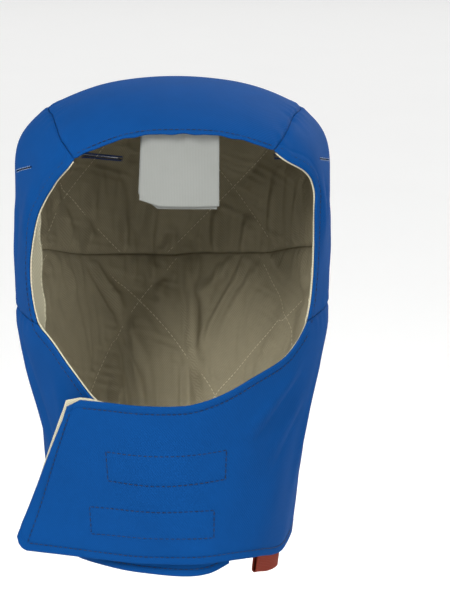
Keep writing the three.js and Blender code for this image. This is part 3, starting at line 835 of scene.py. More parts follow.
def woven(name, colour, rib, weave):
    """Material of a woven cloth, whose ribs follow the cloth's own UV map in real sizes."""
    if name in bpy.data.materials:
        return bpy.data.materials[name]
    material, tree = bare_material(name)
    uv = node(tree, "ShaderNodeUVMap", uv_map="cloth").outputs["UV"]
    turned = node(tree, "ShaderNodeMapping", {"Vector": uv, "Rotation": (0, 0, weave.angle)}).outputs["Vector"]
    warp = ribs(tree, turned, rib, "X", Detail=1.0)
    weft = ribs(tree, uv, WEFT_SHARE * rib, "Y")
    height = node(tree, "ShaderNodeMix", {0: WEFT_HEIGHT, 2: warp, 3: weft}).outputs[0]
    # Colour follows the weave's relief: painted shade in its valleys and painted highlight on its ribs, beside
    # the bump.
    rib_painted_shade = toned(tree, height, shaded(colour, 1 - weave.contrast), shaded(colour, 1 + weave.contrast))
    cloud = clouds(tree, CLOUD_SIZE, Detail=4.0, Roughness=0.7)
    worn = ranged(tree, cloud, 1 - weave.mottle, 1 + weave.mottle, **{"From Min": 0.3, "From Max": 0.7})
    valley, ridge = min(1.0, weave.roughness + 0.08), weave.roughness - 0.06
    relief = {"Height": height, "Strength": weave.relief, "Distance": BUMP_DEPTH}
    coated(
        tree,
        {
            "Base Color": node(tree, "ShaderNodeHueSaturation", {"Value": worn, "Color": rib_painted_shade}).outputs["Color"],
            "Roughness": ranged(tree, height, valley, ridge),
            "Normal": node(tree, "ShaderNodeBump", relief).outputs["Normal"],
            "IOR": 1.46,
            "Specular IOR Level": 0.06,
            "Sheen Weight": weave.sheen,
            "Sheen Roughness": 0.5,
            "Sheen Tint": shaded(colour, 1.6),
        },
    )
    return material


def spun_thread(name, colour):
    """Spun sewing thread: matt, its twist seen only as a faint change of tone along each stitch."""
    if name in bpy.data.materials:
        return bpy.data.materials[name]
    material, tree = bare_material(name)
    tone = toned(tree, clouds(tree, TWIST_SIZE, Detail=1.0), shaded(colour, 0.75), shaded(colour, 1.25))
    coated(tree, {"Base Color": tone, "Roughness": 0.7, "Specular IOR Level": 0.3, "Sheen Weight": 0.1})
    return material


def shell_cloth():
    # Woven aramid, piece-dyed royal blue: a close twill, drawn coarser than its threads so that it shows,
    # matt, with slightly faded patches.
    settings = bpy.context.scene.liner_shell
    weave = Weave(math.radians(38), 0.09, 0.35, 0.05, 0.88, 0.0)
    return woven("aramid_twill_royal_blue", settings.colour, settings.rib, weave)


def lining_cloth():
    # Cotton twill, olive, quilted to batting: clear diagonal ribs, dry and matt.
    settings = bpy.context.scene.liner_lining
    weave = Weave(math.radians(-40), 0.14, 0.45, 0.08, 0.92, 0.05)
    return woven("cotton_twill_olive_quilted", settings.colour, settings.rib, weave)


def cream_twill():
    # Cotton twill tape, unbleached: steep ribs with painted shade in their valleys, matt.
    settings = bpy.context.scene.liner_trim
    weave = Weave(math.radians(60), 0.14, 0.6, 0.04, 0.9, 0.05)
    return woven("cotton_twill_tape_unbleached", settings.cream, 1.4 * MM, weave)


def shell_faces(surface, turn, climb, relief):
    """Outer and inner face of the shell at each place, the outer one raised by its relief."""
    return below(surface, turn, climb, -relief), below(surface, turn, climb, np.full(turn.shape, SHELL))


def cloth_map(turn, climb):
    return np.stack((turn * MM_PER_DEGREE, climb), axis=-1)


def pucker(turn, distance):
    """Small gathers along a seam, dying out into the cloth."""
    place = turn * MM_PER_DEGREE
    return 0.5 * np.sin(place * 0.47 + 2.2 * np.sin(place * 0.13)) * bell(distance, 8.0)


def top_panel():
    """Front and top panel of the shell, hemmed over the forehead."""
    share, offset = spread(ARCH_ROWS, (0.0,), 34)
    turn = np.linspace(-180, 180, 241)[None, :] + np.zeros((len(share), 1))
    hemmed = smooth(np.abs(turn), ARCH_TURN - 3, ARCH_TURN + 3)
    waver = 0.45 * np.sin(np.radians(turn) * 29) + 0.3 * np.sin(np.radians(turn) * 47 + 1)
    edge = climb_at(crown_top_rise(turn)) + SEAM_GAP / 2 + hemmed * waver
    climb = edge + (DOME_BASE + DOME_ARC - edge) * share[:, None] + offset[:, None]
    near, _ = from_edge(share, offset)
    near = near[:, None] + np.zeros_like(turn)
    away = climb - edge
    relief = hemmed * hem_relief(near, ARCH_STITCH) + (1 - hemmed) * (seam_relief(near) + pucker(turn, away))
    outer, inner = shell_faces(shell_point, turn, climb, relief)
    return closed_wall("shell_top_panel", outer, inner, outer[..., :2], shell_cloth(), rims=("first",))


def band_grid(rows, columns, foot, set_back):
    """Turn and climb of a grid in the crown's side wall, between both side edges of the face."""
    up, up_offset = rows
    rise = np.clip(up + up_offset / BAND_HEIGHT, 0, 1)
    lined = LINED_SHARE * set_back * along(FACE_EDGE, "lined", rise)
    edges = {side: along(FACE_EDGE, side, rise) - lined for side in ("left", "right")}
    first = -edges["left"][:, None] * MM_PER_DEGREE
    last = edges["right"][:, None] * MM_PER_DEGREE
    share, offset = columns
    steep = {}
    for side in edges:
        levels = rise * climb_at(CORNER_RISE[side]) + np.arange(len(rise)) * 1e-6
        lean = np.gradient(edges[side] * MM_PER_DEGREE, levels)
        steep[side] = np.sqrt(1 + np.clip(lean, -1.5, 1.5) ** 2)[:, None]
    reach = offset[share == 0].max()
    from_first = np.where(share == 0, offset, reach * (1 - share))
    from_last = np.where(share == 1, offset, -reach * share)
    turn = first + (last - first) * share + from_first * steep["left"] + from_last * steep["right"]
    turn = turn / MM_PER_DEGREE
    swing = turn / by_side(turn, edges["left"][:, None], edges["right"][:, None])
    lined_head = LINED_SHARE * set_back * FACE_EDGE[-1].lined
    head = climb_at(crown_top_rise(swing * (ARCH_TURN - lined_head))) - SEAM_GAP / 2
    low = foot(turn)
    climb = low + (head - low) * up[:, None] + up_offset[:, None]
    return turn, climb


def cut_slots(obj):
    """Cuts the four buttonholes through a piece of the crown."""
    for slot in SLOTS:
        turn, climb = (slot.turn + slot.end_turn) / 2, (slot.climb + slot.end_climb) / 2
        centre = below(shell_point, turn, climb, 0)
        inward = below(shell_point, turn, climb, 1) - centre
        chord = shell_point(slot.end_turn, slot.end_climb) - shell_point(slot.turn, slot.climb)
        length = np.linalg.norm(chord)
        lengthwise = chord - inward * (chord @ inward)
        lengthwise /= np.linalg.norm(lengthwise)
        crosswise = np.cross(inward, lengthwise)
        sides = np.array((lengthwise * length, crosswise * SLOT_WIDTH, inward * SLOT_CUT))
        corners = centre + BOX_CORNERS @ sides / 2
        cutter = piece_from("slot_cutter", corners, BOX_FACES, np.zeros((6, 4, 2)), obj.data.materials[0])
        cut = obj.modifiers.new("Buttonhole", "BOOLEAN")
        cut.operation = "DIFFERENCE"
        cut.solver = "EXACT"
        cut.object = cutter
        bpy.context.view_layer.update()
        as_plain_mesh(obj)
        bpy.data.objects.remove(cutter)
    return obj


def band_panel():
    """Panel of the shell round the sides and back of the head."""
    rows = spread(SEAM_ROWS, SEAM_ROWS, 62)
    columns = spread(HEM_ROWS, HEM_ROWS, 250)
    turn, climb = band_grid(rows, columns, lambda t: np.full(t.shape, SEAM_GAP / 2), 0)
    low, high = (x[:, None] + np.zeros_like(turn) for x in from_edge(*rows))
    left, right = (x[None, :] + np.zeros_like(turn) for x in from_edge(*columns))
    relief = seam_relief(low) + seam_relief(high) + hem_relief(left) + hem_relief(right)
    relief = relief + pucker(turn, climb[-1:] - climb) + 0.5 * pucker(turn + 40, climb)
    outer, inner = shell_faces(shell_point, turn, climb, relief)
    return cut_slots(closed_wall("shell_band_panel", outer, inner, cloth_map(turn, climb), shell_cloth()))


def backing_peep(turn):
    """How far the backing stands past the flap's top edge: hidden below it, then past it at the free end."""
    return lerp(-BACKING_TUCK, BACKING_PEEP, smooth(turn, PEEP_TURNS["from"], PEEP_TURNS["to"]))


def flap_grid(rows, count, peep=0.0, clip_share=1.0):
    """Turn and climb of a grid in the flap's free end, past the last level column."""
    share, offset = rows
    down = np.clip(share + offset / FLAP_HEIGHT, 0, 1)
    past = peep * np.maximum(1 - PEEP_TAPER * down, PEEP_LEAST)
    end = (lerp(FLAP_END["top"], FLAP_END["hem"], down) + past / MM_PER_DEGREE)[:, None]
    column_share, back = spread((0.0,), HEM_ROWS, count)
    turn = FLAP_SPLAY_FROM + (end - FLAP_SPLAY_FROM) * column_share + back / MM_PER_DEGREE
    left = (end - turn) * MM_PER_DEGREE
    clip = clip_share * FLAP_CLIP["down"] * np.maximum(0, 1 - left / FLAP_CLIP["along"])
    short = np.clip(FLAP_CORNER_RADIUS - left, 0, FLAP_CORNER_RADIUS)
    corner = FLAP_CORNER_RADIUS - np.sqrt(FLAP_CORNER_RADIUS**2 - short**2)
    top = cape_top(turn) - clip + (backing_peep(turn) if peep else 0.0)
    hem = hem_at(turn) + corner
    climb = top + (hem - top) * share[:, None] - offset[:, None]
    return turn, climb, from_edge(column_share, back)[1]


def cape_grid(rows, first, count, hem_lift=0.0, peep=0.0, clip_share=1.0):
    """Turn and climb of a grid from a turn to the flap's free end, and how far its columns are from that end."""
    share, offset = rows
    level = np.linspace(first, FLAP_SPLAY_FROM, count)[None, :-1] + np.zeros((len(share), 1))
    top = cape_top(level) + (backing_peep(level) if peep else -SEAM_GAP / 2)
    level_climb = top + (hem_at(level) + hem_lift - top) * share[:, None] - offset[:, None]
    free, free_climb, from_end = flap_grid(rows, FLAP_COLUMNS, peep, clip_share)
    turn = np.concatenate((level, free), axis=1)
    climb = np.concatenate((level_climb, free_climb), axis=1)
    return turn, climb, np.concatenate((np.full(level.shape[1], FAR), from_end))


def cape_panel():
    """Neck panel of the shell, one cloth with the chin flap and the underlap."""
    rows = spread(HEM_ROWS, HEM_ROWS, 56)
    turn, climb, from_end = cape_grid(rows, UNDERLAP_END, 361)
    end = from_end[None, :] + np.zeros_like(turn)
    low, high = (x[:, None] + np.zeros_like(turn) for x in from_edge(*rows))
    hemmed = smooth(np.abs(turn), CAPE_HEMMED["from"], CAPE_HEMMED["to"])
    relief = hemmed * hem_relief(low) + (1 - hemmed) * (seam_relief(low) + 0.6 * pucker(turn, -climb))
    relief = relief + hem_relief(high) + hem_relief(end)
    for tape in HOOK_TAPES:
        aside = np.minimum(turn - tape.start, tape.end - turn) * MM_PER_DEGREE
        updown = np.minimum(tape.top - climb, climb - tape.bottom)
        relief = relief + TAPE_SHOWS * smooth(np.minimum(aside, updown), -1.0, 2.0)
    outer, inner = shell_faces(cape_point, turn, climb, relief)
    return closed_wall("shell_cape_panel", outer, inner, cloth_map(turn, climb), shell_cloth())


def quilt_distance(lines, across, up):
    """Distance from a place in the lining to its nearest line of quilting."""
    nearest = np.full(np.broadcast(across, up).shape, FAR)
    for line in lines:
        aside = across - line.start - line.lean * up
        aside = np.abs(aside - QUILT_PITCH * np.round(aside / QUILT_PITCH))
        nearest = np.minimum(nearest, aside / math.hypot(1, line.lean))
    return nearest


def gathered(points, sewn, inward):
    """Cloth of a grid after it has settled: cut wider than its place, held where it is sewn, and pushed
    in by the batting. Returns how far each corner moved."""
    settings = bpy.context.scene.liner_lining
    rows, columns = points.shape[:2]
    world = points.reshape(-1, 3) * MM
    quads = grid_faces(np.arange(rows * columns).reshape(rows, columns))
    a, b, d = (world[quads[:, i]] for i in (0, 1, 3))
    facing = np.einsum("ij,ij->i", np.cross(b - a, d - a), inward.reshape(-1, 3)[quads[:, 0]]).sum()
    if facing < 0:
        quads = quads[:, ::-1]
    mesh = bpy.data.meshes.new("lining_cut")
    mesh.from_pydata(world.tolist(), [], quads.tolist())
    obj = linked("lining_cut", mesh)
    obj.shape_key_add(name="Sewn")
    cut = obj.shape_key_add(name="Cut")
    cut.value = 0.0
    wide = world * np.array((1 + settings.gather, 1 + settings.gather, 1 + settings.gather / 3))
    cut.data.foreach_set("co", wide.astype(np.float32).ravel())
    group = obj.vertex_groups.new(name="sewn")
    for i, weight in enumerate(sewn.ravel()):
        if weight > 0.02:
            group.add([i], float(weight), "REPLACE")
    cloth = obj.modifiers.new("Cloth", "CLOTH")
    cloth.settings.rest_shape_key = cut
    for key, value in LOOSE_CLOTH.items():
        setattr(cloth.settings, key, value)
    cloth.settings.effector_weights.gravity = LOOSE_WEIGHT
    cloth.collision_settings.use_collision = False
    cloth.collision_settings.use_self_collision = False
    cloth.point_cache.frame_start = 1
    cloth.point_cache.frame_end = CLOTH_FRAMES
    for number in range(1, CLOTH_FRAMES + 1):
        bpy.context.scene.frame_set(number)
    graph = bpy.context.evaluated_depsgraph_get()
    settled = np.zeros(rows * columns * 3, np.float32)
    obj.evaluated_get(graph).data.vertices.foreach_get("co", settled)
    moved = (settled.reshape(-1, 3) - world) / MM
    bpy.data.objects.remove(obj)
    bpy.data.meshes.remove(mesh)
    bpy.context.scene.frame_set(1)
    return moved.reshape(rows, columns, 3)


def finer(grid):
    """The grid with a new line between each two, on a smooth curve through them."""
    for axis in (0, 1):
        lines = np.moveaxis(grid, axis, 0)
        padded = np.concatenate((2 * lines[:1] - lines[1:2], lines, 2 * lines[-1:] - lines[-2:-1]))
        between = (9 * (padded[1:-2] + padded[2:-1]) - padded[:-3] - padded[3:]) / 16
        out = np.empty((2 * len(lines) - 1, *lines.shape[1:]))
        out[0::2] = lines
        out[1::2] = between
        grid = np.moveaxis(out, 0, axis)
    return grid


def eased(moved, outward, most_in=6.5, most_out=0.6, most_aside=3.0):
    """Movement of the settled cloth, held back from the shell and capped."""
    out = np.einsum("ijk,ijk->ij", moved, outward)
    aside = moved - outward * out[..., None]
    size = np.linalg.norm(aside, axis=-1, keepdims=True)
    aside = aside * np.minimum(1, most_aside / np.maximum(size, TINY))
    inwards = most_in * np.tanh(np.maximum(-out, 0) / most_in)
    outwards = most_out * np.tanh(np.maximum(out, 0) / most_out)
    return aside + outward * (outwards - inwards)[..., None]


def slot_distance(turn, climb):
    """Distance from a place in the crown to its nearest buttonhole."""
    nearest = np.full(np.broadcast(turn, climb).shape, FAR)
    for slot in SLOTS:
        first, run = cloth_run(slot)
        across, up = turn * MM_PER_DEGREE - first[0], climb - first[1]
        share = np.clip((across * run[0] + up * run[1]) / (run @ run), 0, 1)
        nearest = np.minimum(nearest, np.hypot(across - share * run[0], up - share * run[1]))
    return nearest


def gathers(place, away):
    """Small uneven gathers that a seam draws into the lining, dying out away from it."""
    wide = np.sin(place * 0.62 + 1.7 * np.sin(place * 0.11))
    narrow = 0.6 * np.sin(place * 0.93 + 2.3 * np.sin(place * 0.07))
    return (wide + narrow) * bell(away - 5, 11.0)


def quilted(name, surface, grid, depth, lines, folds, edge_away, side_away, seam_away):
    """Quilted piece of lining between its outer face at a depth and a gathered inner face."""
    turn, climb = grid
    place = turn * MM_PER_DEGREE
    stand = np.maximum(edge_stand(turn, climb) - FACING_TAKES, LINING_NEAREST) * bell(side_away, STAND_REACH)
    puff = 0.5 + 0.5 * np.sqrt(1 - (1 - np.clip(edge_away / PUFF_REACH, 0, 1)) ** 2)
    slots_away = np.maximum(slot_distance(turn, climb) - SLOT_SEWN, 0)
    lines_away = np.minimum(quilt_distance(lines, place, climb), slots_away)
    ease = (1 - 0.8 * bell(lines_away, 3.5)) * smooth(edge_away, -2, 6)
    drawn = 1.2 * gathers(place, seam_away) + 0.45 * gathers(1.3 * climb + 0.4 * place, lines_away)
    loft = ease * np.maximum(folded(folds, turn, climb) + drawn, FOLD_DEEPEST)
    base_depth = depth + stand + QUILT_SEWN * puff + loft
    base = below(surface, turn, climb, base_depth)
    outward = base - below(surface, turn, climb, base_depth + 1)
    held = np.maximum(bell(lines_away, 2.6), bell(edge_away, 2.0))
    coarse = (slice(None, None, 2), slice(None, None, 2))
    moved = finer(eased(gathered(base[coarse], held[coarse], -outward[coarse]), outward[coarse]))
    free = (1 - bell(lines_away, 3.2)) * (1 - bell(edge_away, 3.0))
    inner = base + moved * free[..., None]
    outer = below(surface, turn, climb, depth + stand)
    return closed_wall(name, outer, inner, cloth_map(turn, climb), lining_cloth())


def edges_away(turn, climb):
    """Distance of each place in a grid from the grid's edges, and from its two ends alone."""
    ends = np.minimum(turn - turn[:, :1], turn[:, -1:] - turn) * MM_PER_DEGREE
    levels = np.minimum(np.abs(climb - climb[:1]), np.abs(climb - climb[-1:]))
    return np.minimum(ends, levels), ends


def crown_quilt():
    """Lining inside the crown band."""
    rows = spread((0.0,), (0.0,), 83)
    columns = spread((0.0,), (0.0,), 259)
    turn, climb = band_grid(rows, columns, lambda t: lining_seam(t) + LINING_GAP / 2, 1)
    away, ends = edges_away(turn, climb)
    depth = SHELL + SLACK["crown"]
    seam = climb - climb[:1]
    quilt = quilted(
        "quilt_crown", shell_point, (turn, climb), depth, CROWN_QUILTING, CROWN_FOLDS, away, ends, seam
    )
    return cut_slots(quilt)


def neck_quilt():
    """Lining inside the cape and the underlap."""
    share = np.linspace(0, 1, 97)[:, None]
    turn = np.linspace(LINING_END["left"], LINING_END["right"], 381)[None, :] + 0 * share
    top = neck_lining_top(turn) - LINING_GAP / 2
    climb = lerp(top, hem_at(turn) + LINING_HEM, share)
    away, _ = edges_away(turn, climb)
    round_ = np.abs(turn)
    side_away = np.where(round_ > 100, np.abs(round_ - FACE_TURN) * MM_PER_DEGREE, FAR)
    side_away = np.hypot(side_away, np.maximum(top - climb, 0))
    depth = SHELL + SLACK["neck"]
    return quilted(
        "quilt_neck", cape_point, (turn, climb), depth, NECK_QUILTING, NECK_FOLDS, away, side_away, top - climb
    )


def top_quilt():
    """Lining over the top of the head."""
    share, offset = spread((0.0, 1.0, 2.5, 4.5, 7.0), (0.0,), 30)
    turn = np.linspace(-180, 180, 181)[None, :] + np.zeros((len(share), 1))
    set_back = FOREHEAD_HEM * smooth(np.abs(turn), ARCH_TURN - FOREHEAD_HEM_TAPER, ARCH_TURN)
    edge = climb_at(crown_top_rise(turn)) + SEAM_GAP / 2 + set_back
    climb = edge + (DOME_BASE + DOME_ARC - edge) * share[:, None] + offset[:, None]
    depth = SHELL + SLACK["crown"]
    outer = below(shell_point, turn, climb, depth)
    away = climb - edge
    puff = 0.3 + 0.7 * np.sqrt(1 - (1 - np.clip(away / PUFF_REACH, 0, 1)) ** 2)
    lines_away = quilt_distance(CROWN_QUILTING, outer[..., 0], outer[..., 1])
    swing = np.radians(turn)
    drawn = 0.7 * np.sin(31 * swing + 1.5 * np.sin(5 * swing)) * bell(away - 12, 14.0)
    loft = QUILT_SEWN * puff + 1.4 * smooth(lines_away, 0, 22) * puff + drawn * puff
    inner = below(shell_point, turn, climb, depth + np.clip(loft, 0.8, QUILT_TOP))
    return closed_wall("quilt_top", outer, inner, outer[..., :2], lining_cloth(), rims=("first",))


def edge_path(facing, share):
    """Places along a side edge of the face opening, from the crown top's corner to the facing's lower end."""
    rise = FACING_START * np.clip(1 - share / facing.crown_share, 0, 1)
    crown_turn = along(FACE_EDGE, facing.side, rise)
    crown_climb = rise * climb_at(CORNER_RISE[facing.side])
    low_share = np.clip((share - facing.crown_share) / (1 - facing.crown_share), 0, 1)
    low_turn = lerp(getattr(FACE_EDGE[0], facing.side), facing.last_turn, low_share)
    on_crown = share < facing.crown_share
    turn = facing.sign * np.where(on_crown, crown_turn, low_turn)
    return turn, np.where(on_crown, crown_climb, cape_top(facing.sign * low_turn))


def beside_edge(facing, share, inset):
    """Places at a distance behind a side edge of the face opening."""
    step = 0.012
    turn, climb = edge_path(facing, share)
    ahead = edge_path(facing, np.minimum(share + step, 1))
    behind = edge_path(facing, np.maximum(share - step, 0))
    run = np.stack(((ahead[0] - behind[0]) * MM_PER_DEGREE, ahead[1] - behind[1]))
    run = facing.sign * run / np.linalg.norm(run, axis=0)
    return turn + run[1] * inset / MM_PER_DEGREE, climb - run[0] * inset


def facing_depth(share, inset, turn, climb):
    """Depth of a facing's outer face: tight to the shell's edge, loose and rippled at its inner edge."""
    stand = edge_stand(turn, climb) * np.clip(inset / FACING_WIDTH, 0, 1) ** 1.2
    ripple = 0.5 * np.sin(share * 61) * smooth(inset, 2, FACING_WIDTH)
    seat = lerp(-0.15, 2 * TAPE_GAP, smooth(inset, 0, 3))
    return SHELL + seat + stand + ripple + 0.5 * bell(climb, 1.2)


def cape_layer(name, turn, climb, depth, thickness, cloth, material):
    """Piece of even thickness at a depth below the cape's outer face."""
    outer = below(cape_point, turn, climb, depth)
    inner = below(cape_point, turn, climb, depth + thickness)
    return closed_wall(name, outer, inner, cloth, material)


def facing_strip(facing):
    """Twill tape along a side edge of the face opening, standing off the shell at its inner edge."""
    share = np.linspace(0, 1, 170)[:, None]
    across = np.array((0.0, 0.05, 0.12, 0.25, 0.4, 0.55, 0.7, 0.83, 0.92, 1.0))[None, :]
    low = smooth(share, facing.crown_share - 0.03, facing.crown_share + 0.03)
    start = lerp(-FACING_PEEP, facing.low_inset, low) + facing.turned_in * bell(share - 0.33, 0.08)
    inset = lerp(start, FACING_WIDTH, across)
    width = inset * smooth(share, -0.03, 0.03)
    turn, climb = beside_edge(facing, share + 0 * width, width)
    depth = facing_depth(share, inset, turn, climb)
    cloth = np.stack((share * FACING_RUN + 0 * inset, inset), axis=-1)
    return cape_layer(facing.piece, turn, climb, depth, FACING, cloth, cream_twill())


def flap_backing():
    """Twill that backs the chin flap and shows past its free end."""
    rows = spread(BACKING_ROWS, BACKING_ROWS, 30)
    turn, climb, _ = cape_grid(rows, BACKING_FROM, 27, BACKING_HEM, BACKING_PEEP, BACKING_CLIP)
    cloth = cloth_map(turn, climb)
    return cape_layer("twill_flap_backing", turn, climb, SHELL + TAPE_GAP, FACING, cloth, cream_twill())


def tape_place(tape, across, down):
    """Turn and climb in a hook tape, whose long edges sag a little in the middle."""
    turn = lerp(tape.start, tape.end, across)
    sag = tape.sag * (1 - (2 * across - 1) ** 2)
    return turn, lerp(tape.top, tape.bottom, down) - sag


def hook_strip(tape):
    """Hook tape behind the flap: a woven ribbon; its hooks are made apart from it."""
    # Nylon hook tape, woven and dyed navy: fine cross ribs with a faint gloss.
    weave = Weave(math.radians(90), 0.2, 0.6, 0.03, 0.6, 0.0)
    material = woven("nylon_hook_tape_navy", linear("#1d2f58"), 1.2 * MM, weave)
    across = np.linspace(0, 1, 40)[None, :] + np.zeros((14, 1))
    down = np.linspace(0, 1, 14)[:, None] + np.zeros((1, 40))
    turn, climb = tape_place(tape, across, down)
    return cape_layer(tape.piece, turn, climb, TAPE_DEPTH, HOOK_TAPE, cloth_map(turn, climb), material)


def hook_field(tape, material):
    """Hooks of one tape, set out in rows on its face and bent over in Geometry Nodes."""
    pitch = bpy.context.scene.liner_trim.hook_pitch / MM
    columns = int((tape.end - tape.start) * MM_PER_DEGREE / pitch) - 1
    rows = int((tape.top - tape.bottom) / pitch) - 1
    across = np.linspace(0.03, 0.97, columns)[None, :] + np.zeros((rows, 1))
    down = np.linspace(0.08, 0.92, rows)[:, None] + np.zeros((1, columns))
    turn, climb = tape_place(tape, across, down)
    depth = TAPE_DEPTH + HOOK_TAPE
    spots = below(cape_point, turn, climb, depth).reshape(-1, 3)
    tips = below(cape_point, turn, climb, depth + HOOK_HEIGHT).reshape(-1, 3)
    return instanced(tape.piece + "_hooks", spots, tips, hook_tree(), material, {"Wire": HOOK_WIRE * MM})


def label_leaf(leaf):
    """Leaf of the blank care label, sewn inside the arch and hanging straight down."""
    # Polyester label taffeta, woven and calendered: off-white, fine and flat, with a faint satin gloss. Its
    # colour is set to a grey: painted shade of the crown it hangs in.
    weave = Weave(math.radians(0), 0.05, 0.2, 0.03, 0.6, 0.0)
    material = woven("polyester_taffeta_off_white", bpy.context.scene.liner_trim.label, 0.9 * MM, weave)
    across = np.linspace(0, 1, 34)[None, :]
    down = np.linspace(0, 1, 40)[:, None]
    turn = lerp(LABEL_TURNS["from"], LABEL_TURNS["to"], across) + leaf.turn_shift
    edge = climb_at(crown_top_rise(turn))
    head = below(shell_point, turn, edge + leaf.seat, SHELL + 2 * TAPE_GAP)
    side = (across - 0.5) * 2
    foot = leaf.foot + leaf.corner * np.clip(1 - (1 - across) / 0.24, 0, 1) + 0.8 * across
    z = lerp(head[..., 2], foot, down)
    curl = leaf.curl * down**2 * (side**2 - 0.3) + 0.5 * np.sin(4 * down + 2 * across)
    y = head[..., 1] + leaf.backward * down + curl * down
    x = head[..., 0] - 2.0 * down * across
    outer = np.stack(np.broadcast_arrays(x, y, z), axis=-1)
    inner = outer + np.array((0.0, LABEL, 0.0))
    cloth = np.stack(np.broadcast_arrays(across * 46, down * 50), axis=-1)
    return closed_wall(leaf.piece, outer, inner, cloth, material)


def hem_tab():
    """Blank ribbon folded over at its lower end, with both ends tucked up inside the hem."""
    # Polyester ribbon, woven, red: fine cross ribs, a little sheen.
    weave = Weave(math.radians(90), 0.14, 0.4, 0.05, 0.7, 0.1)
    material = woven("polyester_ribbon_red", bpy.context.scene.liner_trim.ribbon, 1.1 * MM, weave)
    across = np.linspace(0, 1, 24)[None, :]
    leaf = TAB_TUCK + TAB_DROP - TAB_FOLD
    turn_round = math.pi * TAB_FOLD
    run = np.linspace(0, 2 * leaf + turn_round, 60)[:, None]
    turn = lerp(TAB_TURNS["from"], TAB_TURNS["to"], across) + 0 * run
    swing = np.clip((run - leaf) / turn_round, 0, 1) * math.pi
    up = np.minimum(run, leaf) - np.maximum(run - leaf - turn_round, 0)
    middle = SHELL + TAPE_GAP + TAB_CLOTH / 2 + TAB_FOLD * (1 - np.cos(swing))
    climb = hem_at(turn) + TAB_TUCK - up - TAB_FOLD * np.sin(swing)
    faces = []
    for half in (-0.5, 0.5):
        depth = middle + half * TAB_CLOTH * np.cos(swing)
        faces.append(below(cape_point, turn, climb + half * TAB_CLOTH * np.sin(swing), depth))
    cloth = np.stack(np.broadcast_arrays(across * 35, run), axis=-1)
    return closed_wall("ribbon_tab", faces[0], faces[1], cloth, material)


def edge_tree(name, width, default, seed):
    """New tree that works on the edges of a mesh, with a width, a fixed seed and a material as its inputs.

    Returns the tree, what it is given, and its edges with their run and the foot that they start from.
    """
    tree = bpy.data.node_groups.new(name, "GeometryNodeTree")
    for label, kind, value in (
        ("Geometry", "NodeSocketGeometry", None),
        (width, "NodeSocketFloat", default),
        ("Seed", "NodeSocketInt", seed),
        ("Material", "NodeSocketMaterial", None),
    ):
        socket = tree.interface.new_socket(label, in_out="INPUT", socket_type=kind)
        if value is not None:
            socket.default_value = value
    tree.interface.new_socket("Geometry", in_out="OUTPUT", socket_type="NodeSocketGeometry")
    given = node(tree, "NodeGroupInput").outputs
    ends = node(tree, "GeometryNodeInputMeshEdgeVertices").outputs
    both = {0: ends["Position 2"], 1: ends["Position 1"]}
    run = node(tree, "ShaderNodeVectorMath", both, operation="SUBTRACT").outputs[0]
    capture = node(tree, "GeometryNodeCaptureAttribute", {"Geometry": given["Geometry"]}, domain="EDGE")
    for label, value in (("Run", run), ("Foot", ends["Position 1"])):
        capture.capture_items.new("VECTOR", label)
        tree.links.new(value, capture.inputs[label])
    return tree, given, capture.outputs


def length_and_turn(tree, run):
    """Length of a run, and the rotation that stands something up along it."""
    length = node(tree, "ShaderNodeVectorMath", {0: run}, operation="LENGTH").outputs["Value"]
    return length, node(tree, "FunctionNodeAlignRotationToVector", {"Vector": run}, axis="Z").outputs[0]


def times(tree, value, factor):
    return node(tree, "ShaderNodeMath", {0: value, 1: factor}, operation="MULTIPLY").outputs[0]


def chance(tree, low, high, seed):
    return node(tree, "FunctionNodeRandomValue", {2: low, 3: high, 8: seed}, data_type="FLOAT").outputs[1]


def set_out(tree, points, instance, rotation, scale, material):
    """Ends a tree in instances on its points, made real and smooth, with their material."""
    placing = {"Points": points, "Instance": instance, "Rotation": rotation, "Scale": scale}
    placed = node(tree, "GeometryNodeInstanceOnPoints", placing).outputs[0]
    real = node(tree, "GeometryNodeRealizeInstances", {"Geometry": placed}).outputs[0]
    soft = node(tree, "GeometryNodeSetShadeSmooth", {"Geometry": real}).outputs[0]
    dressed = node(tree, "GeometryNodeSetMaterial", {"Geometry": soft, "Material": material}).outputs[0]
    node(tree, "NodeGroupOutput", {"Geometry": dressed})
    return tree


def thread_tree():
    """One stitch on each edge of the input: a round of thread as long as the edge, full in the middle."""
    name = "Sewn thread"
    if name in bpy.data.node_groups:
        return bpy.data.node_groups[name]
    tree, given, edges = edge_tree(name, "Thickness", 0.5 * MM, 7)
    spots = node(tree, "GeometryNodeMeshToPoints", {0: edges["Geometry"]}, mode="EDGES").outputs[0]
    length, turn = length_and_turn(tree, edges["Run"])
    half = times(tree, given["Thickness"], chance(tree, 0.42, 0.56, given["Seed"]))
    reach = times(tree, length, 0.5)
    size = node(tree, "ShaderNodeCombineXYZ", {"X": half, "Y": half, "Z": reach}).outputs[0]
    stitch = node(tree, "GeometryNodeMeshUVSphere", {"Segments": 6, "Rings": 5, "Radius": 1.0}).outputs["Mesh"]
    return set_out(tree, spots, stitch, turn, size, given["Material"])


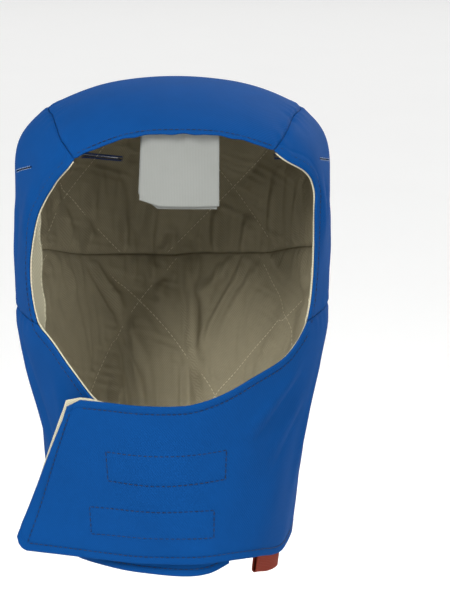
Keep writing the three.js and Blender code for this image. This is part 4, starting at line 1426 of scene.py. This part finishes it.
def hook_tree():
    """A bent hook on each edge of the input, standing up from the edge's foot."""
    name = "Hook field"
    if name in bpy.data.node_groups:
        return bpy.data.node_groups[name]
    tree, given, edges = edge_tree(name, "Wire", 0.2 * MM, 3)
    feet = {0: edges["Geometry"], "Position": edges["Foot"]}
    spots = node(tree, "GeometryNodeMeshToPoints", feet, mode="EDGES").outputs[0]
    bend = {"Resolution": 6, "Start": (0, 0, 0), "Middle": (0.1, 0, 2.0), "End": (0.75, 0, 0.5)}
    bent = node(tree, "GeometryNodeCurveQuadraticBezier", bend).outputs[0]
    wire = times(tree, given["Wire"], 1 / (2 * HOOK_HEIGHT * MM))
    profile = node(tree, "GeometryNodeCurvePrimitiveCircle", {"Resolution": 4, "Radius": wire}).outputs[0]
    swept = {"Curve": bent, "Profile Curve": profile, "Fill Caps": True}
    hook = node(tree, "GeometryNodeCurveToMesh", swept).outputs[0]
    length, turn = length_and_turn(tree, edges["Run"])
    about = node(tree, "ShaderNodeCombineXYZ", {"Z": chance(tree, 0.0, math.tau, given["Seed"])}).outputs[0]
    spin = {"Rotation": turn, "Rotate By": about}
    spun = node(tree, "FunctionNodeRotateRotation", spin, rotation_space="LOCAL").outputs[0]
    return set_out(tree, spots, hook, spun, length, given["Material"])


def instanced(name, starts, ends, tree, material, inputs):
    """Piece that a tree makes from one edge between each start and end."""
    count = len(starts)
    world = in_frame(np.concatenate((starts, ends)))
    mesh = bpy.data.meshes.new(name)
    mesh.from_pydata(world.tolist(), [(i, i + count) for i in range(count)], [])
    obj = linked(name, mesh)
    modifier = obj.modifiers.new(tree.name, "NODES")
    modifier.node_group = tree
    names = {item.name: item.identifier for item in tree.interface.items_tree if item.in_out == "INPUT"}
    for label, value in {**inputs, "Material": material}.items():
        modifier[names[label]] = value
    bpy.context.view_layer.update()
    return as_plain_mesh(obj)


def running(points):
    """Ends of running stitches along a line of points."""
    trim = bpy.context.scene.liner_trim
    stitch, gap = trim.stitch / MM, trim.stitch_gap / MM
    steps = np.linalg.norm(np.diff(points, axis=0), axis=1)
    run = np.concatenate(((0.0,), np.cumsum(steps)))
    count = max(1, int(run[-1] / (stitch + gap)))
    begin = np.linspace(0, run[-1], count, endpoint=False)
    length = run[-1] / count - gap
    ends = (np.stack([np.interp(at, run, axis) for axis in points.T], axis=1) for at in (begin, begin + length))
    return tuple(ends)


def on_cloth(surface, turn, climb, depth=THREAD_DEPTH):
    return below(surface, np.asarray(turn, float), np.asarray(climb, float), depth)


def shell_stitches():
    """Lines of topstitching on the shell: hems, face edges, flap and the boxes of the hook tapes."""
    lines = []
    turn = np.linspace(ARCH_TURN + 0.5, 360 - ARCH_TURN - 0.5, 200)
    lines.append(on_cloth(shell_point, turn, climb_at(crown_top_rise(turn)) + ARCH_STITCH))
    left, right = FACINGS
    for facing, last, count in ((left, 0.995, 300), (right, right.crown_share, 200)):
        share = np.linspace(0.005, last, count)
        lines.append(on_cloth(cape_point, *beside_edge(facing, share, HEM_STITCH)))
    top = np.linspace(FACE_EDGE[0].right + 2, FLAP_END["top"] - 5.5, 220)
    slope = np.gradient(cape_top(top), top * MM_PER_DEGREE)
    flap_top = np.stack((top, cape_top(top) - HEM_STITCH * np.sqrt(1 + slope**2)))
    down = np.linspace(0.09, 0.955, 100)
    end = lerp(FLAP_END["top"], FLAP_END["hem"], down) - HEM_STITCH * 1.12 / MM_PER_DEGREE
    flap_end = np.stack((end, lerp(cape_top(end), hem_at(end), down)))
    hem = np.linspace(FLAP_END["hem"] - 5.4, UNDERLAP_END + 3, 700)
    flap_hem = np.stack((hem, hem_at(hem) + HEM_STITCH))
    for path in (flap_top, flap_end, flap_hem):
        lines.append(on_cloth(cape_point, *path))
    for tape in HOOK_TAPES:
        edge = np.linspace(0, 1, 60)
        low, high = np.zeros(60), np.ones(60)
        for across, down in ((edge, low), (high, edge), (edge[::-1], high), (low, edge[::-1])):
            lines.append(on_cloth(cape_point, *tape_place(tape, across, down), depth=TAPE_STITCH_DEPTH))
    return lines


def in_crown_lining(turn, climb):
    top = climb_at(crown_top_rise(turn)) - STITCH_MARGIN
    return (climb > lining_seam(turn) + STITCH_MARGIN) & (climb < top) & (np.abs(turn) < CROWN_LINED)


def in_neck_lining(turn, climb):
    foot = hem_at(turn) + LINING_HEM + STITCH_MARGIN
    inside = (climb > foot) & (climb < neck_lining_top(turn) - STITCH_MARGIN)
    return inside & (turn > LINING_END["left"] + 1) & (turn < LINING_END["right"] - 1)


def quilt_stitches():
    """Lines of quilting on the lining's inner face."""
    lines = []
    climb = np.linspace(-160, 160, 640)
    for surface, quilting, slack, on_lining in (
        (shell_point, CROWN_QUILTING, SLACK["crown"], in_crown_lining),
        (cape_point, NECK_QUILTING, SLACK["neck"], in_neck_lining),
    ):
        for line in quilting:
            for number in QUILT_LINES:
                turn = (line.start + number * QUILT_PITCH + line.lean * climb) / MM_PER_DEGREE
                inside = on_lining(turn, climb)
                if inside.sum() > LEAST_POINTS:
                    depth = SHELL + slack + QUILT_SEWN + THREAD_SUNK
                    lines.append(on_cloth(surface, turn[inside], climb[inside], depth))
    return lines


def facing_stitches():
    """Lines of stitching along the inner edge of each facing."""
    lines = []
    for facing in FACINGS:
        share = np.linspace(0.04, 0.99, 300)
        inset = FACING_WIDTH - 1.4
        turn, climb = beside_edge(facing, share, inset)
        depth = facing_depth(share, inset, turn, climb) + FACING + THREAD_SUNK
        lines.append(on_cloth(cape_point, turn, climb, depth))
    return lines


def slot_points(slot, at, offset, depth):
    """Points at distances along a slot, offset upwards across it, at a depth below the shell's outer face."""
    first, run = cloth_run(slot)
    ahead = run / np.linalg.norm(run)
    upward = np.array((-ahead[1], ahead[0])) * np.sign(ahead[0])
    place = first + np.outer(at, ahead) + np.outer(offset + 0 * at, upward)
    return on_cloth(shell_point, place[:, 0] / MM_PER_DEGREE, place[:, 1], depth)


def slot_length(slot):
    return np.linalg.norm(cloth_run(slot)[1])


def buttonhole_dashes(depth):
    """Short slanted stitches along both lips of each slot."""
    starts, ends = [], []
    pitch, dash = 3.2, 2.0
    for slot in SLOTS:
        for near, far, lead in ((0.5, 1.0, 0.4), (-0.6, -1.1, 2.0)):
            at = np.arange(lead, slot_length(slot) - dash, pitch)
            starts.append(slot_points(slot, at, near, depth))
            ends.append(slot_points(slot, at + dash, far, depth))
    return np.concatenate(starts), np.concatenate(ends)


def buttonhole_zigzag(depth):
    """Dense zigzag stitches along both lips of each slot, with a bar at each end."""
    starts, ends = [], []
    near, far, pitch, bar = 0.5, 2.1, 0.7, 1.2
    for slot in SLOTS:
        length = slot_length(slot)
        at = np.arange(-0.6, length + 0.6, pitch / 2)
        swing = np.where(np.arange(len(at)) % 2, far, near)
        tips = np.zeros(8)
        rows = [(at, swing), (at, -swing)]
        rows += [(tips + tip, np.linspace(-far, far, len(tips))) for tip in (-bar, length + bar)]
        for along_slot, offset in rows:
            points = slot_points(slot, along_slot, offset, depth)
            starts.append(points[:-1])
            ends.append(points[1:])
    return np.concatenate(starts), np.concatenate(ends)


def sewn(name, lines, material):
    """Piece of thread with running stitches along each line."""
    starts, ends = zip(*(running(line) for line in lines))
    thickness = bpy.context.scene.liner_trim.thread
    return instanced(
        name, np.concatenate(starts), np.concatenate(ends), thread_tree(), material, {"Thickness": thickness}
    )


class LINER_OT_shell(bpy.types.Operator):
    """Sews the three panels of the woven shell"""

    bl_idname = "liner.shell"
    bl_label = "Sew shell"

    def execute(self, context):
        top = settle_piece(top_panel(), "shell_cloth", "crown_top")
        band = settle_piece(band_panel(), "shell_cloth", "crown_band")
        cape = settle_piece(cape_panel(), "shell_cloth", "cape")
        return {"FINISHED"}


class LINER_OT_lining(bpy.types.Operator):
    """Quilts and gathers the three pieces of lining"""

    bl_idname = "liner.lining"
    bl_label = "Quilt lining"

    def execute(self, context):
        quilts = (top_quilt(), crown_quilt(), neck_quilt())
        for piece, solid in zip(quilts, ("lining_top", "lining_crown", "lining_neck")):
            settle_piece(piece, "quilted_lining", solid)
        return {"FINISHED"}


class LINER_OT_twill(bpy.types.Operator):
    """Sews the twill facings and the backing of the chin flap"""

    bl_idname = "liner.twill"
    bl_label = "Sew twill"

    def execute(self, context):
        for facing in FACINGS:
            strip = settle_piece(facing_strip(facing), "cream_twill", facing.node)
        backing = settle_piece(flap_backing(), "cream_twill", "flap_backing")
        return {"FINISHED"}


class LINER_OT_hook_tapes(bpy.types.Operator):
    """Sews both hook tapes behind the chin flap"""

    bl_idname = "liner.hook_tapes"
    bl_label = "Sew hook tapes"

    def execute(self, context):
        # Nylon monofilament hooks, navy: smooth, with a small highlight.
        wire = spun_thread("nylon_hooks_navy", linear("#24386a"))
        for tape in HOOK_TAPES:
            strip = settle_piece(hook_strip(tape), "hook_tape", tape.node)
            settle_piece(hook_field(tape, wire), "hook_tape")
        return {"FINISHED"}


class LINER_OT_label(bpy.types.Operator):
    """Hangs both leaves of the blank care label"""

    bl_idname = "liner.label"
    bl_label = "Hang care label"

    def execute(self, context):
        for leaf in LABEL_LEAVES:
            piece = settle_piece(label_leaf(leaf), "label_taffeta", leaf.node)
        return {"FINISHED"}


class LINER_OT_tab(bpy.types.Operator):
    """Folds the blank ribbon tab into the hem"""

    bl_idname = "liner.tab"
    bl_label = "Fold hem tab"

    def execute(self, context):
        tab = settle_piece(hem_tab(), "red_ribbon", "hem_tab")
        return {"FINISHED"}


class LINER_OT_stitching(bpy.types.Operator):
    """Sews topstitching, quilting, facing stitches and buttonholes"""

    bl_idname = "liner.stitching"
    bl_label = "Sew stitching"

    def execute(self, context):
        navy = spun_thread("spun_polyester_thread_navy", linear("#041533"))
        cream = spun_thread("spun_cotton_thread_cream", linear("#cfc9ae"))
        drab = spun_thread("spun_cotton_thread_drab", linear("#b4ad94"))
        blue = spun_thread("spun_polyester_thread_blue", linear("#16346c"))
        grey = spun_thread("spun_polyester_thread_grey", linear("#8b9db5"))
        thickness = context.scene.liner_trim.thread
        settle_piece(sewn("thread_topstitch", shell_stitches(), navy), "shell_cloth")
        settle_piece(sewn("thread_quilting", quilt_stitches(), drab), "quilted_lining")
        settle_piece(sewn("thread_facing", facing_stitches(), cream), "cream_twill")
        inside = SHELL + SLACK["crown"] + QUILT_SEWN + 0.1
        for name, (starts, ends), thread in (
            ("thread_buttonhole_outside", buttonhole_dashes(THREAD_DEPTH), grey),
            ("thread_buttonhole_inside", buttonhole_zigzag(inside), blue),
        ):
            piece = instanced(name, starts, ends, thread_tree(), thread, {"Thickness": 0.8 * thickness})
            settle_piece(piece, "shell_cloth")
        return {"FINISHED"}


def pale_floor(height):
    """Round floor below the hood."""
    # Matt white paint: nearly white, with a faint unevenness.
    material, tree = bare_material("matt_paint_white")
    cloud = clouds(tree, 1 / 3, Detail=2.0)
    tone = toned(tree, cloud, shaded(linear("#f3f3f2"), 1), shaded(linear("#f8f8f7"), 1))
    glow = {"Emission Color": (1, 1, 1, 1), "Emission Strength": FLOOR_GLOW}
    coated(tree, {"Base Color": tone, "Roughness": 0.9, **glow})
    mesh = bpy.data.meshes.new("floor")
    disc = bmesh.new()
    bmesh.ops.create_circle(disc, cap_ends=True, segments=96, radius=FLOOR_RADIUS)
    bmesh.ops.translate(disc, verts=disc.verts, vec=(0, 0, height))
    disc.to_mesh(mesh)
    disc.free()
    mesh.materials.append(material)
    return linked("floor", mesh)


def aimed(obj, place, aim):
    """The lamp or camera at a place, turned to what it looks at."""
    obj.location = place
    obj.rotation_euler = (Vector(aim) - Vector(place)).to_track_quat("-Z", "Y").to_euler()
    return obj


def studio_light(scene):
    """Large soft lamps and a white surround, brightest at the horizon."""
    for lamp in LAMPS:
        data = bpy.data.lights.new(lamp.name, "AREA")
        data.shape = "DISK"
        data.size = lamp.size
        data.energy = lamp.power
        data.spread = math.radians(lamp.spread)
        aimed(linked(lamp.name, data), lamp.place, lamp.aim).visible_camera = False
    world = bpy.data.worlds.new("studio")
    scene.world = world
    world.use_nodes = True
    tree = world.node_tree
    tree.nodes.clear()
    direction = node(tree, "ShaderNodeTexCoord").outputs["Generated"]
    aloft = node(tree, "ShaderNodeSeparateXYZ", {0: direction}).outputs["Z"]
    glow = ranged(tree, aloft, HORIZON_GLOW, SKY_GLOW, **{"From Min": 0.15, "From Max": 0.4})
    surround = node(tree, "ShaderNodeBackground", {"Color": (1, 1, 1, 1), "Strength": glow}).outputs[0]
    node(tree, "ShaderNodeOutputWorld", {"Surface": surround})
    scene.view_settings.view_transform = "Standard"


class LINER_OT_stage(bpy.types.Operator):
    """Sets out the pale floor, the soft studio light and the camera"""

    bl_idname = "liner.stage"
    bl_label = "Set stage"

    def execute(self, context):
        settings = context.scene.liner_stage
        low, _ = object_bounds()
        floor = pale_floor(low.z - settings.floor_drop)
        floor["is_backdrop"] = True
        studio_light(context.scene)
        seam = Vector((0, 0, -SEAT_HEIGHT * MM))
        lift = settings.camera_height
        place = seam + settings.camera_distance * Vector((0, -math.cos(lift), math.sin(lift)))
        aim = seam + Vector((settings.camera_distance * math.tan(CAMERA_SIDEWAYS), 0, 0))
        data = bpy.data.cameras.new("camera")
        data.lens = CAMERA_LENS
        data.sensor_width = CAMERA_SENSOR
        context.scene.camera = aimed(linked("camera", data), place, aim)
        return {"FINISHED"}


class LINER_PT_panel(bpy.types.Panel):
    """Hard hat liner"""

    bl_idname = "LINER_PT_panel"
    bl_label = "Hard hat liner"
    bl_space_type = "VIEW_3D"
    bl_region_type = "UI"
    bl_category = "Liner"

    def draw(self, context):
        layout = self.layout
        for group in ("liner_shell", "liner_lining", "liner_trim", "liner_stage"):
            settings = getattr(context.scene, group)
            box = layout.box()
            for key in settings.bl_rna.properties.keys():
                if key not in ("rna_type", "name"):
                    box.prop(settings, key)
        for operator in OPERATORS:
            layout.operator(operator.bl_idname)


SETTINGS = {
    "liner_shell": ShellSettings,
    "liner_lining": LiningSettings,
    "liner_trim": TrimSettings,
    "liner_stage": StageSettings,
}
OPERATORS = (
    LINER_OT_lining,
    LINER_OT_shell,
    LINER_OT_twill,
    LINER_OT_hook_tapes,
    LINER_OT_label,
    LINER_OT_tab,
    LINER_OT_stitching,
    LINER_OT_stage,
)


def register():
    for settings in SETTINGS.values():
        bpy.utils.register_class(settings)
    for key, settings in SETTINGS.items():
        setattr(bpy.types.Scene, key, bpy.props.PointerProperty(type=settings))
    for operator in OPERATORS:
        bpy.utils.register_class(operator)
    bpy.utils.register_class(LINER_PT_panel)


def unregister():
    bpy.utils.unregister_class(LINER_PT_panel)
    for operator in reversed(OPERATORS):
        bpy.utils.unregister_class(operator)
    for key, settings in SETTINGS.items():
        delattr(bpy.types.Scene, key)
        bpy.utils.unregister_class(settings)


def main():
    register()
    bpy.ops.liner.lining()
    bpy.ops.liner.shell()
    bpy.ops.liner.twill()
    bpy.ops.liner.hook_tapes()
    bpy.ops.liner.label()
    bpy.ops.liner.tab()
    bpy.ops.liner.stitching()
    bpy.ops.liner.stage()


if __name__ == "__main__":
    main()
